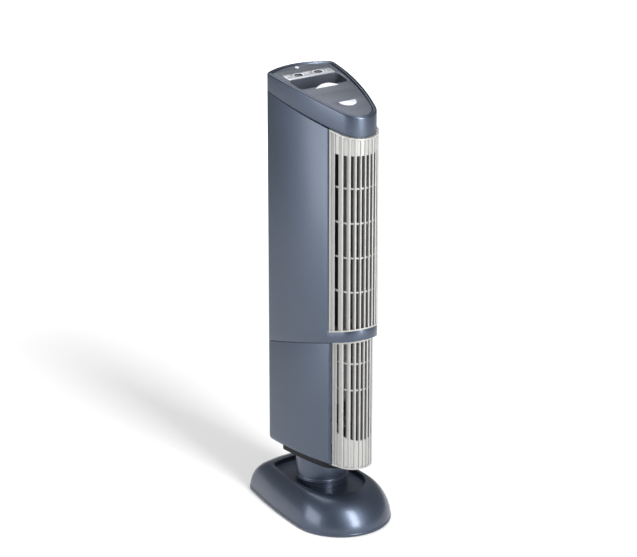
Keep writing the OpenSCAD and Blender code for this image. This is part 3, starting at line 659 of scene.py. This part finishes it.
# Satin chrome lip, made pale and only partly metallic so that its colour also paints in the bright highlight
# along its edge.
CHROME_WITH_PAINTED_HIGHLIGHT = brushed("lip_chrome_painted_highlight", (0.85, 0.86, 0.90), 0.26, stretch=(1.0, 30.0, 30.0), metallic=0.35)
STEEL = brushed("brushed_steel", (0.56, 0.57, 0.59), 0.34)
BRASS = brushed("bright_brass", (0.72, 0.53, 0.22), 0.26)
BOARD = solder_mask()
WHITE = lens_plastic()

SLOT_FINISH = {
    "housing_blue": SLATE, "top_plate": TOP, "grille_silver": SILVER, "label_silver": LABEL,
    "lip_silver": CHROME_WITH_PAINTED_HIGHLIGHT, "white_lens": WHITE, "button_black": GLOSS_BLACK, "inner_plastic": INNER,
    "impeller_plastic": FAN_PLASTIC, "black_plastic": DARK, "circuit_board": BOARD, "steel": STEEL,
    "brass": BRASS, "acetal_white": ACETAL, "rubber": RUBBER,
}


def finish_cad_nodes():
    """Every CAD node takes the finish of its slot in the record."""
    for part in frame["record"]["subparts"]:
        mesh = frame["nodes"][part["node"]].data
        mesh.materials.clear()
        mesh.materials.append(SLOT_FINISH[part["material_slot"]])


def place(obj, body, slot, *nodes):
    if nodes:
        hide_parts(*nodes)
    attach(obj, body)
    return obj


finish_cad_nodes()

# ------------------------------------------------------------------ base and neck


def mixed(a, b, t):
    return a * (1 - t) + b * t


def base_dome():
    """Base shell: foot, dome on a superellipse, rolled rim of the dish, dish, and the swivel's bore."""
    lip_top, crest_z, dish_z = 5.7, 55.6, 46.0
    power = 1.75
    rows = [row(outline(BASE, d), z) for d, z in
            ((4.2, 1.3), (0.9, 1.2), (0.25, 1.5), (0.0, 2.3), (0.0, 4.6), (0.12, 5.2), (0.5, 5.6))]
    foot, crest, dish = outline(BASE, 0.7), outline(DISH, -1.9), outline(DISH, -1.0)
    for t in np.linspace(0, 1, 25) ** 1.6:
        z = lip_top + (crest_z - lip_top) * (1 - (1 - t) ** power) ** (1 / power)
        rows.append(row(mixed(foot, crest, t), z))
    rows.append(row(dish, 55.55))
    for d, z in ((-0.5, 55.2), (-0.15, 54.6), (0, 53.6), (0, 49.6), (0.5, 48.0), (1.8, 46.7),
                 (3.6, 46.1), (5.5, dish_z)):
        rows.append(row(outline(DISH, d), z))
    rows.append(row(circle_under(outline(DISH), NECK_R), dish_z))
    rows.append(row(circle_under(outline(DISH), 34.2), dish_z))
    rows.append(row(circle_under(outline(DISH), 34.2), 43.5))
    return smooth(loft("base_dome", rows, SLATE), 40)


def swivel_neck():
    """Journal, drum with its ring, and flange, round the outside and back up the bore."""
    journal = [(33.9, 35.6), (33.9, 46.95), (NECK_R - 0.4, 46.95), (NECK_R - 0.4, 46.2), (NECK_R, 46.2)]
    ring = [(NECK_R + d, z) for d, z in
            ((0, 55.6), (1.3, 55.9), (1.8, 56.3), (2.0, 56.9), (2.0, 57.9), (1.8, 58.4), (1.3, 58.8),
             (0.7, 59.0), (0.25, 59.5), (0.05, 60.3), (0, 61.5))]
    flange = [(NECK_R, 109.9), (46.0, 110.0), (46.0, 113.0), (31.0, 113.0)]
    profile = journal + ring + flange + [(31.0, 38.6), (12.0, 38.6), (12.0, 35.6)]
    return smooth(lathe("swivel_neck", profile, SLATE), 40)


def plinth():
    """Dark skirt under the tower, round the neck."""
    rows = [row(circle_under(outline(PLINTH), NECK_HOLE_R), 94.2)]
    rows += [row(outline(PLINTH, d), z) for d, z in
             ((1.6, 94.0), (0.8, 94.15), (0.2, 94.7), (0.0, 95.6), (0.0, 106.9))]
    rows.append(row(circle_under(outline(PLINTH), NECK_HOLE_R), 106.9))
    return smooth(loft("tower_skirt", rows, DARK, ring_rows=True), 40)


place(base_dome(), "base", "housing_blue", "base_shell")
place(swivel_neck(), "tower", "housing_blue", "neck")
place(plinth(), "tower", "black_plastic", "tower_plinth")

# ------------------------------------------------------------------ housings

VENT_X = 38.0
UPPER_VENT, LOWER_VENT = (385.0, 635.0), (196.0, 262.0)
INLET_X, INLET = 14.0, (136.0, 154.0)


def in_nose(i, j):
    """True for a face inside the nose window, above the floor's row."""
    return i > 0 and (j < WINDOW_COLUMN or j >= COLUMNS - WINDOW_COLUMN)


def rolled(points, amount):
    """Rolls the edge of the nose window inwards."""
    inward = outline(BODY, 1, WINDOW_Y) - points
    s = np.clip((WINDOW_Y + ROLL_YS[-1] - points[:, 1]) / ROLL_YS[-1], 0, 1)
    nose = points[:, 1] < WINDOW_Y - 0.01
    return points + inward * (np.where(nose, 0, s**2) * 2.0 * amount)[:, None]


def cut_window(obj, half, span):
    """Cuts a window of a given half width out of the rear wall, between two heights."""
    cutter = column("cutter", [(-half, 40), (half, 40), (half, 90), (-half, 90)], span[0], span[1], SLATE)
    m = obj.modifiers.new("window", "BOOLEAN")
    m.object = cutter
    m.operation = "DIFFERENCE"
    m.solver = "EXACT"
    freeze(obj)
    bpy.data.objects.remove(cutter)
    return obj


def housing(name, rows, windows):
    """Shell round the tower, open at the nose, with windows in its rear wall."""
    obj = loft(name, rows, SLATE, skip=in_nose)
    freeze(thicken(obj, WALL))
    for half, span in windows:
        cut_window(obj, half, span)
    smooth(obj, 30)
    freeze(bevel(obj, 0.45, 2, 40))
    return smooth(obj, 40)


def window_return(side):
    """Upright strip that closes the step between the housing and the set-back grille."""
    inner, outer = half_width(LOW, -80.4) + 0.3, half_width(BODY, -79.5) - 0.6
    plan = [(side * inner, -79.9), (side * outer, -79.9), (side * outer, -78.5), (side * inner, -78.5)]
    return column("window_return", plan, TOWER_Z + 5, mid_at(-1.2), SLATE)


def lower_housing():
    """Floor round the neck, an upright stretch under the nose grille, and the filleted walls."""
    plan = outline(BODY, 0, WINDOW_Y)
    fillet = 8.0
    nose = plan[:, 1] < WINDOW_Y - 0.01
    floor = np.where(nose[:, None], outline(LOW, 4.0), outline(BODY, fillet, WINDOW_Y))
    rows = [row(circle_under(floor, NECK_HOLE_R), TOWER_Z), row(floor, TOWER_Z)]
    for a in np.radians((18, 36, 54, 72, 90)):
        d = fillet * (1 - math.sin(a))
        rows.append(row(outline(BODY, d, WINDOW_Y), TOWER_Z + fillet * (1 - math.cos(a))))
    rows.append(row(plan, TOWER_Z + 12))
    rows.append(row(plan, mid_at(-SEAM_GAP)))
    skin = housing("lower_housing_skin", rows, [(VENT_X, LOWER_VENT), (INLET_X, INLET)])
    return join("lower_housing_piece", skin, window_return(-1), window_return(1))


def upper_housing():
    """Walls with the band that wraps the nose, whose upper edge rolls into the window."""
    plan = outline(BODY, 0, WINDOW_Y)
    rows = [row(rolled(plan, a), h) for a, h in
            ((0, mid_at()), (0, mid_at(BAND_H)), (0.55, mid_at(BAND_H + 1.5)), (0.9, mid_at(BAND_H + 3.5)),
             (1, mid_at(BAND_H + 6)), (1, seam_at(-SEAM_GAP)))]
    return housing("upper_housing_skin", rows, [(VENT_X, UPPER_VENT)])


def head():
    """Wall, rounded rim, its groove and its inner bead, as (inset, height) round the section."""
    outer = [(2.5, seam_at()), (0.5, seam_at()), (0.1, seam_at(0.15)), (0.0, seam_at(0.6)),
             (0.0, top_at(3.4)), (0.1, top_at(2.2)), (0.45, top_at(1.2)), (1.1, top_at(0.45)),
             (2.0, top_at(0.1)), (2.9, top_at(0.05)), (3.15, top_at(0.4)), (3.25, top_at(1.7)),
             (4.15, top_at(1.7)), (4.3, top_at(0.7)), (4.7, top_at(0.3)), (5.2, top_at(0.2)),
             (5.7, top_at(0.35)), (6.1, top_at(0.8)), (6.4, top_at(1.5)), (6.5, top_at(3.0)),
             (6.5, top_at(5.0)), (2.5, top_at(5.2))]
    rows = [row(outline(HEAD, d), h) for d, h in outer]
    return smooth(loft("head_skin", rows, SLATE, ring_rows=True), 34)


place(lower_housing(), "tower", "housing_blue", "lower_housing")
place(upper_housing(), "tower", "housing_blue", "upper_housing")
place(head(), "tower", "housing_blue", "head_shell")

# ------------------------------------------------------------------ repeats by geometry nodes


def geometry_tree(name, inputs):
    tree = bpy.data.node_groups.new(name, "GeometryNodeTree")
    tree.interface.new_socket("Geometry", in_out="OUTPUT", socket_type="NodeSocketGeometry")
    for label, kind in inputs:
        tree.interface.new_socket(label, in_out="INPUT", socket_type=kind)
    return tree, tree.nodes.new("NodeGroupInput"), tree.nodes.new("NodeGroupOutput")


def wire(tree, source, node, socket):
    tree.links.new(source, node.inputs[socket])


def place_units(tree, inp, points):
    """Instances of the unit on points, made real."""
    info = tree.nodes.new("GeometryNodeObjectInfo")
    wire(tree, inp.outputs["Unit"], info, "Object")
    spread = tree.nodes.new("GeometryNodeInstanceOnPoints")
    wire(tree, points, spread, "Points")
    wire(tree, info.outputs["Geometry"], spread, "Instance")
    real = tree.nodes.new("GeometryNodeRealizeInstances")
    wire(tree, spread.outputs[0], real, "Geometry")
    return real.outputs[0]


def end_tree(tree, inp, out, geometry):
    paint = tree.nodes.new("GeometryNodeSetMaterial")
    wire(tree, geometry, paint, "Geometry")
    wire(tree, inp.outputs["Material"], paint, "Material")
    wire(tree, paint.outputs[0], out, "Geometry")
    return tree


def row_tree():
    """Units in a straight row."""
    tree, inp, out = geometry_tree("straight_row", [
        ("Unit", "NodeSocketObject"), ("Count", "NodeSocketInt"), ("Start", "NodeSocketVector"),
        ("Step", "NodeSocketVector"), ("Material", "NodeSocketMaterial")])
    line = tree.nodes.new("GeometryNodeMeshLine")
    wire(tree, inp.outputs["Count"], line, "Count")
    wire(tree, inp.outputs["Start"], line, "Start Location")
    wire(tree, inp.outputs["Step"], line, "Offset")
    return end_tree(tree, inp, out, place_units(tree, inp, line.outputs[0]))


def vane_tree():
    """Upright vanes whose fronts lie on the round nose, cut by a sloping plane at each end."""
    tree, inp, out = geometry_tree("nose_vanes", [
        ("Unit", "NodeSocketObject"), ("Count", "NodeSocketInt"), ("Pitch", "NodeSocketFloat"),
        ("Nose radius", "NodeSocketFloat"), ("Nose y", "NodeSocketFloat"),
        ("Bottom", "NodeSocketFloat"), ("Bottom slope", "NodeSocketFloat"),
        ("Top", "NodeSocketFloat"), ("Top slope", "NodeSocketFloat"), ("Material", "NodeSocketMaterial")])
    line = tree.nodes.new("GeometryNodeMeshLine")
    wire(tree, inp.outputs["Count"], line, "Count")
    step = tree.nodes.new("ShaderNodeCombineXYZ")
    wire(tree, inp.outputs["Pitch"], step, "X")
    wire(tree, step.outputs[0], line, "Offset")
    place_line = tree.nodes.new("ShaderNodeCombineXYZ")
    half = math_node(tree, "MULTIPLY", math_node(tree, "SUBTRACT", inp.outputs["Count"], 1.0), -0.5)
    wire(tree, math_node(tree, "MULTIPLY", half, inp.outputs["Pitch"]), place_line, "X")
    wire(tree, place_line.outputs[0], line, "Start Location")

    here = tree.nodes.new("GeometryNodeInputPosition")
    at = tree.nodes.new("ShaderNodeSeparateXYZ")
    wire(tree, here.outputs[0], at, "Vector")
    square = math_node(tree, "MULTIPLY", inp.outputs["Nose radius"], inp.outputs["Nose radius"])
    across = math_node(tree, "MULTIPLY", at.outputs[0], at.outputs[0])
    chord = math_node(tree, "SQRT", math_node(tree, "SUBTRACT", square, across))
    front = tree.nodes.new("ShaderNodeCombineXYZ")
    wire(tree, at.outputs[0], front, "X")
    wire(tree, math_node(tree, "SUBTRACT", inp.outputs["Nose y"], chord), front, "Y")
    to_nose = tree.nodes.new("GeometryNodeSetPosition")
    wire(tree, line.outputs[0], to_nose, "Geometry")
    wire(tree, front.outputs[0], to_nose, "Position")
    vanes = place_units(tree, inp, to_nose.outputs[0])

    def end(label):
        """Height of an end's sloping plane at the vane."""
        climb = math_node(tree, "MULTIPLY", inp.outputs[label + " slope"], at.outputs[1])
        return math_node(tree, "ADD", inp.outputs[label], climb)

    low, high = end("Bottom"), end("Top")
    share = math_node(tree, "MULTIPLY", at.outputs[2], math_node(tree, "SUBTRACT", high, low))
    cut = tree.nodes.new("ShaderNodeCombineXYZ")
    wire(tree, at.outputs[0], cut, "X")
    wire(tree, at.outputs[1], cut, "Y")
    wire(tree, math_node(tree, "ADD", low, share), cut, "Z")
    ends = tree.nodes.new("GeometryNodeSetPosition")
    wire(tree, vanes, ends, "Geometry")
    wire(tree, cut.outputs[0], ends, "Position")
    return end_tree(tree, inp, out, ends.outputs[0])


ROW_TREE = row_tree()
VANE_TREE = vane_tree()


def grown(name, tree, unit, material, **values):
    """Runs a geometry tree with the given inputs and returns its plain mesh."""
    obj = link(bpy.data.objects.new(name, bpy.data.meshes.new(name)))
    m = obj.modifiers.new("grow", "NODES")
    m.node_group = tree
    sockets = {s.name: s.identifier for s in tree.interface.items_tree
               if s.item_type == "SOCKET" and s.in_out == "INPUT"}
    for label, value in dict(values, Unit=unit, Material=material).items():
        m[sockets[label.replace("_", " ")]] = value
    freeze(obj)
    bpy.data.objects.remove(unit)
    return obj


# ------------------------------------------------------------------ nose grilles


def vane_unit(material, thick=2.6, depth=10.0):
    """Plan of one vane with a rounded front, one unit tall, its front at y = 0."""
    h = thick / 2
    plan = [(h, depth), (-h, depth), (-h, 0.9), (-h + 0.22, 0.32), (-h + 0.75, 0.0), (h - 0.75, 0.0),
            (h - 0.22, 0.32), (h, 0.9)]
    return column("vane_unit", plan, 0, 1 / MM, material)


def rib_unit(o, material):
    """One cross rib behind the vanes, with softened edges."""
    return swept("rib_unit", o, [(3.2, -1.3), (3.2, 1.0), (3.5, 1.3), (5.4, 1.3), (5.4, -1.3)], material)


def nose_grille(name, o, paint, bottom, top, count, pitch, ribs, panel, edge_x, edge_front):
    """Vanes, cross ribs, solid zone, rims, frame and edge slats of one grille.

    bottom and top are planes as (z, slope), ribs are (first z, spacing, number), and panel is the
    solid zone between two heights.
    """
    low, high = plane(*bottom), plane(*top)
    parts = [grown(name + "_vanes", VANE_TREE, vane_unit(paint), paint, Count=count, Pitch=pitch * MM,
                   Nose_radius=o[0] * MM, Nose_y=o[1] * MM, Bottom=bottom[0] * MM, Bottom_slope=bottom[1],
                   Top=top[0] * MM, Top_slope=top[1])]
    first, spacing, number = ribs
    parts.append(grown(name + "_ribs", ROW_TREE, rib_unit(o, paint), paint, Count=number,
                       Start=(0, 0, first * MM), Step=(0, 0, spacing * MM)))
    foot, head_end = panel
    parts.append(swept(name + "_panel", o, [(2.0, foot), (2.0, head_end), (4, head_end), (4, foot)], paint))
    rim = 2.4
    for edge, inner in ((low, plane(bottom[0] + rim, bottom[1])), (plane(top[0] - rim, top[1]), high)):
        section = [(0.3, edge), (0.0, edge), (0.0, inner), (0.3, inner), (4, inner), (4, edge)]
        parts.append(swept(name + "_rim", o, section, paint))
    for side in (-1, 1):
        y0, y1 = WINDOW_Y - 0.4, WINDOW_Y - 2.2
        outer = [(side * (half_width(o, y) - d), y) for y, d in ((y0, 0.25), (y1, 0.0), (y1, 5), (y0, 5))]
        parts.append(column(name + "_frame", outer, low, high, paint))
        wall = [(side * (edge_x - d), y) for d, y in
                ((0, y0), (0, edge_front + 0.5), (0.5, edge_front), (1.4, edge_front), (1.6, y0))]
        parts.append(column(name + "_edge", wall, low, high, paint))
    for p in parts:
        smooth(p, 32)
    return join(name, *parts)


upper = nose_grille("upper_nose_grille", BODY, SILVER, bottom=(MID_Z + BAND_H + 0.4, MID_K),
                    top=(SEAM_Z - 0.4, SEAM_K), count=10, pitch=7.2, ribs=(404, 55.4, 4),
                    panel=(plane(UPPER_SLOTS_TOP), seam_at(-0.6)), edge_x=38.1, edge_front=-90.0)
place(upper, "tower", "grille_silver", "upper_grille")

lower = nose_grille("lower_nose_grille", LOW, LOW_SILVER, bottom=(TOWER_Z + 0.3, 0),
                    top=(MID_Z - 1.2, MID_K), count=9, pitch=6.9, ribs=(240, 44, 2),
                    panel=(plane(TOWER_Z + 0.4), plane(LOWER_SLOTS_BOTTOM, 0.35)),
                    edge_x=32.4, edge_front=-88.0)
place(lower, "tower", "grille_silver", "lower_grille")

# ------------------------------------------------------------------ rear grilles


BACK_CENTRE_Y = BODY[3] - math.sqrt((BODY[6] - BODY[4]) ** 2 - BODY[2] ** 2)


def back_y(x, inset=0.0):
    """Depth of the bowed rear wall, less an inset, at a distance from the middle."""
    return BACK_CENTRE_Y + np.sqrt((BODY[6] - inset) ** 2 - np.asarray(x, float) ** 2)


def back_bar(name, x0, x1, section, material, steps=20):
    """A bar that follows the bowed back; section is (inset, z) round its outside."""
    xs = np.linspace(x0, x1, steps)
    rows = [np.c_[xs, back_y(xs, d), np.full(steps, z)] for d, z in section]
    return capped(loft(name, rows, material, ring_rows=True, closed_columns=False))


def rear_grille(name, vent, count):
    """Slanted louvres in a frame, with two upright ribs between its stiles."""
    z0, z1 = vent[0] + 0.4, vent[1] - 0.4
    edge = VENT_X - 0.4
    border = 3.5
    pitch = (z1 - z0 - 2 * border) / count
    slant = [(0.3, 0.25 * pitch), (0.5, 0.55 * pitch), (2.9, 1.0 * pitch), (2.9, 0.75 * pitch)]
    unit = back_bar("louvre", -edge + 2, edge - 2, slant, SLATE)
    parts = [grown(name + "_louvres", ROW_TREE, unit, SLATE, Count=count, Start=(0, 0, (z0 + border) * MM),
                   Step=(0, 0, pitch * MM))]
    for low, high in ((z0, z0 + border), (z1 - border, z1)):
        section = [(0.4, low), (0.2, low + 0.3), (0.2, high - 0.3), (0.4, high), (3.2, high), (3.2, low)]
        parts.append(back_bar(name + "_end", -edge, edge, section, SLATE))
    stile = border / 2
    for x, half, inset in ((-edge + stile, stile, 0.2), (edge - stile, stile, 0.2),
                           (-12, 1.0, 0.9), (12, 1.0, 0.9)):
        section = [(inset, z0 + 0.1), (inset, z1 - 0.1), (3.1, z1 - 0.1), (3.1, z0 + 0.1)]
        parts.append(back_bar(name + "_stile", x - half, x + half, section, SLATE, 4))
    for p in parts:
        smooth(p, 32)
    return join(name, *parts)


place(rear_grille("rear_intake_louvres", UPPER_VENT, 30), "tower", "housing_blue", "rear_intake_grille")
place(rear_grille("rear_lower_louvres", LOWER_VENT, 8), "tower", "housing_blue", "rear_lower_grille")

# ------------------------------------------------------------------ top

WELL_X, WELL_Y, WELL_R, WELL_DEPTH = 44.0, (-9.9, 24.5), 8.0, 27.0
DECK_FRONT = -11.5
LABEL_X, LABEL_Y = 43.0, (26.0, 50.0)
LENS_AT = (-3.0, 64.5)
MOON_R, MOON_Y = 15.0, -68.4
PLATE_TOP, PLATE_LOW = -1.5, -4.0


def rounded_rect(x, y0, y1, r, steps=8):
    """Rectangle from -x to x and y0 to y1 with round corners."""
    quarter = math.pi / 2
    return np.vstack([arc((x - r, y0 + r), r, -quarter, 0, steps), arc((x - r, y1 - r), r, 0, quarter, steps),
                      arc((r - x, y1 - r), r, quarter, 2 * quarter, steps),
                      arc((r - x, y0 + r), r, 2 * quarter, 3 * quarter, steps)])


def oval(half_l, r, x0, y0, steps=16):
    """Slot shape with round ends of radius r."""
    return np.vstack([arc((x0 + half_l - r, y0), r, -math.pi / 2, math.pi / 2, steps),
                      arc((x0 + r - half_l, y0), r, math.pi / 2, 1.5 * math.pi, steps)])


def half_moon(r, back):
    """Half disc towards the nose, its straight edge moved back by a little."""
    return arc((0, MOON_Y + back), r, math.pi, 2 * math.pi, 40)


def cut_ring(inset, y_cut, front):
    """Part of the rim's opening in front of or behind a straight cut, in the top's own plane."""
    p = outline(HEAD, inset) * (1, 1 / math.cos(TOP_ANGLE))
    side = p[: COLUMNS // 2 + 1]
    x_cut = float(np.interp(y_cut, side[:, 1], side[:, 0]))
    if front:
        nose = side[side[:, 1] < y_cut - 0.3]
        return np.vstack([nose[::-1] * (-1, 1), nose[1:], [(x_cut, y_cut), (-x_cut, y_cut)]])
    rear = side[side[:, 1] > y_cut + 0.3]
    return np.vstack([[(-x_cut, y_cut), (x_cut, y_cut)], rear, rear[-2::-1] * (-1, 1)])


def grip_well():
    """Pocket with upright walls and a filleted floor."""
    fillet = 6.0
    levels = [(0.0, -2.2), (0.0, -WELL_DEPTH + fillet)]
    for a in np.radians((22, 45, 68, 90)):
        levels.append((fillet * (1 - math.cos(a)), -WELL_DEPTH + fillet * (1 - math.sin(a))))
    rows = []
    for d, z in levels:
        plan = rounded_rect(WELL_X - d, WELL_Y[0] + d, WELL_Y[1] - d, max(WELL_R - d, 2.0))
        rows.append(row(plan, z))
    # The floor closes on a straight line along the middle of the pocket.
    reach = WELL_X - 14
    middle = np.c_[np.clip(plan[:, 0], -reach, reach), np.full(len(plan), sum(WELL_Y) / 2)]
    rows.append(row(middle, -WELL_DEPTH))
    obj = face_up(loft("grip_well", rows[::-1], TOP))
    obj.data.transform(TOP_FRAME)
    freeze(thicken(obj, 1.2))
    return smooth(crowned(obj), 40)


def control_deck():
    """Rear plate with openings for the buttons and the lens, and the grip well in one piece with it."""
    loops = [cut_ring(7.2, DECK_FRONT, False), rounded_rect(WELL_X, *WELL_Y, WELL_R)]
    loops += [oval(7.4, 4.9, s * OVAL_X, OVAL_Y) for s in (-1, 1)]
    loops.append(arc(LENS_AT, 3.6, 0, 2 * math.pi, 40)[:-1])
    deck = plate("deck_plate", loops, PLATE_LOW, PLATE_TOP, 0.45, TOP)
    return join("control_deck_skin", deck, grip_well())


def front_plate():
    """Plate on the collector cell, with the half moon's opening."""
    loops = [cut_ring(7.2, DECK_FRONT - 0.5, True), half_moon(MOON_R + 0.45, 0.4)]
    return plate("front_plate", loops, PLATE_LOW, PLATE_TOP, 0.45, TOP)


def label():
    loops = [rounded_rect(LABEL_X, *LABEL_Y, 2.5)]
    loops += [oval(7.3, 4.8, s * OVAL_X, OVAL_Y) for s in (-1, 1)]
    return plate("label_film_piece", loops, -1.45, -0.95, 0.12, LABEL)


def lens():
    return plate("indicator_dot", [arc(LENS_AT, 3.4, 0, 2 * math.pi, 40)[:-1]], -6.0, -0.7, 0.8, WHITE)


def finger_lip():
    """Crescent that flares up and back over the grip well."""
    half, sag, tilt = 23.0, 8.0, math.radians(34)
    radius = (half**2 + sag**2) / (2 * sag)
    root_y, root_z = -16.0, -3.0
    rows = []
    for x in np.linspace(-half, half, 41):
        edge = math.sqrt(radius**2 - x * x) - (radius - sag)
        s = edge * np.linspace(0, 1, 11)
        lift = s * math.sin(tilt) * (0.72 + 0.28 * s / sag)
        rows.append(np.c_[np.full(len(s), x), root_y + s * math.cos(tilt), root_z + lift])
    obj = loft("finger_lip", rows, CHROME_WITH_PAINTED_HIGHLIGHT, closed_columns=False)
    obj.data.transform(TOP_FRAME)
    face_up(obj)
    m = obj.modifiers.new("wall", "SOLIDIFY")
    m.thickness = 2.0 * MM
    m.offset = 0
    freeze(obj)
    tidy(obj)
    freeze(bevel(obj, 0.7, 3, 30))
    return smooth(crowned(obj), 40)


place(control_deck(), "tower", "top_plate", "control_deck")
place(front_plate(), "cell", "top_plate", "cell_top_plate")
place(label(), "tower", "label_silver", "control_label")
place(lens(), "tower", "white_lens", "indicator_lens")
place(finger_lip(), "cell", "lip_silver", "grip_lip")
for side, name in ((-1, "left_button"), (1, "right_button")):
    key = plate(name + "_cap", [oval(7.0, 4.5, side * OVAL_X, OVAL_Y)], -5.6, -0.4, 0.9, GLOSS_BLACK)
    place(key, name, "button_black", name)
moon = plate("half_moon_cap", [half_moon(MOON_R, 0)], -5.6, -0.9, 0.8, WHITE)
place(moon, "half_moon_button", "white_lens", "half_moon_button")

# ------------------------------------------------------------------ studio


def studio():
    """Pale paper floor that grows to white away from the fan, for the camera far more than for the fan."""
    bpy.ops.mesh.primitive_plane_add(size=120, location=(0, 0, 0))
    floor = bpy.context.object
    floor.name = "studio_floor"
    paper = Finish("studio_paper", (0.93, 0.93, 0.93), 0.9, specular=0.1)
    tone = noise(paper.tree, paper.vector, 2.0, 2.0)
    paper.feed("Base Color", paper.mix(tone, (0.925, 0.925, 0.925), (0.94, 0.94, 0.94)))
    paper.set("Emission Color", (1, 1, 1, 1))
    away = paper.tree.nodes.new("ShaderNodeVectorMath")
    away.operation = "LENGTH"
    paper.tree.links.new(paper.vector, away.inputs[0])
    glow = ramp(paper.tree, away.outputs["Value"], 0.4, 2.4, 0.0, 1.0)
    path = paper.tree.nodes.new("ShaderNodeLightPath")
    seen = ramp(paper.tree, path.outputs["Is Camera Ray"], 0.0, 1.0, 0.1, 1.0)
    paper.feed("Emission Strength", math_node(paper.tree, "MULTIPLY", glow, seen))
    floor.data.materials.append(paper.material)


def softbox(name, at, target, size, power):
    """Rectangular light that points at a target. Places and sizes are in metres."""
    light = bpy.data.lights.new(name, "AREA")
    light.shape = "RECTANGLE"
    light.size, light.size_y = size
    light.energy = power
    obj = link(bpy.data.objects.new(name, light))
    obj.location = at
    obj.rotation_mode = "QUATERNION"
    obj.rotation_quaternion = (Vector(target) - Vector(at)).to_track_quat("-Z", "Y")
    obj.visible_camera = False
    return obj


def camera():
    """Long lens from the front left, above the fan."""
    data = bpy.data.cameras.new("camera")
    data.sensor_width = 36.0
    data.lens = 146.94
    data.clip_end = 100
    obj = link(bpy.data.objects.new("camera", data))
    obj.location = (-2.1285, -3.1554, 1.8010)
    back = Vector((-0.52327, -0.77784, 0.34806))
    obj.rotation_mode = "QUATERNION"
    obj.rotation_quaternion = (-back).to_track_quat("-Z", "Y")
    bpy.context.scene.camera = obj


def world():
    """White where the camera looks past the floor, and a dim fill on the fan."""
    w = bpy.data.worlds.new("studio_world")
    bpy.context.scene.world = w
    w.use_nodes = True
    nodes, links = w.node_tree.nodes, w.node_tree.links
    nodes["Background"].inputs["Color"].default_value = (1, 1, 1, 1)
    path = nodes.new("ShaderNodeLightPath")
    strength = nodes.new("ShaderNodeMapRange")
    strength.inputs["To Min"].default_value = 0.22
    strength.inputs["To Max"].default_value = 1.0
    links.new(path.outputs["Is Camera Ray"], strength.inputs["Value"])
    links.new(strength.outputs["Result"], nodes["Background"].inputs["Strength"])


studio()
softbox("overhead", (0.3, 1.0, 2.9), (0, 0, 0.2), (2.4, 2.4), 48)
softbox("left_panel", (-2.3, 0.3, 0.7), (0, -0.05, 0.35), (1.6, 1.3), 30)
softbox("front_panel", (0.05, -2.0, 1.2), (0, -0.1, 0.35), (0.6, 2.1), 75)
camera()
world()
bpy.context.scene.view_settings.view_transform = "Standard"
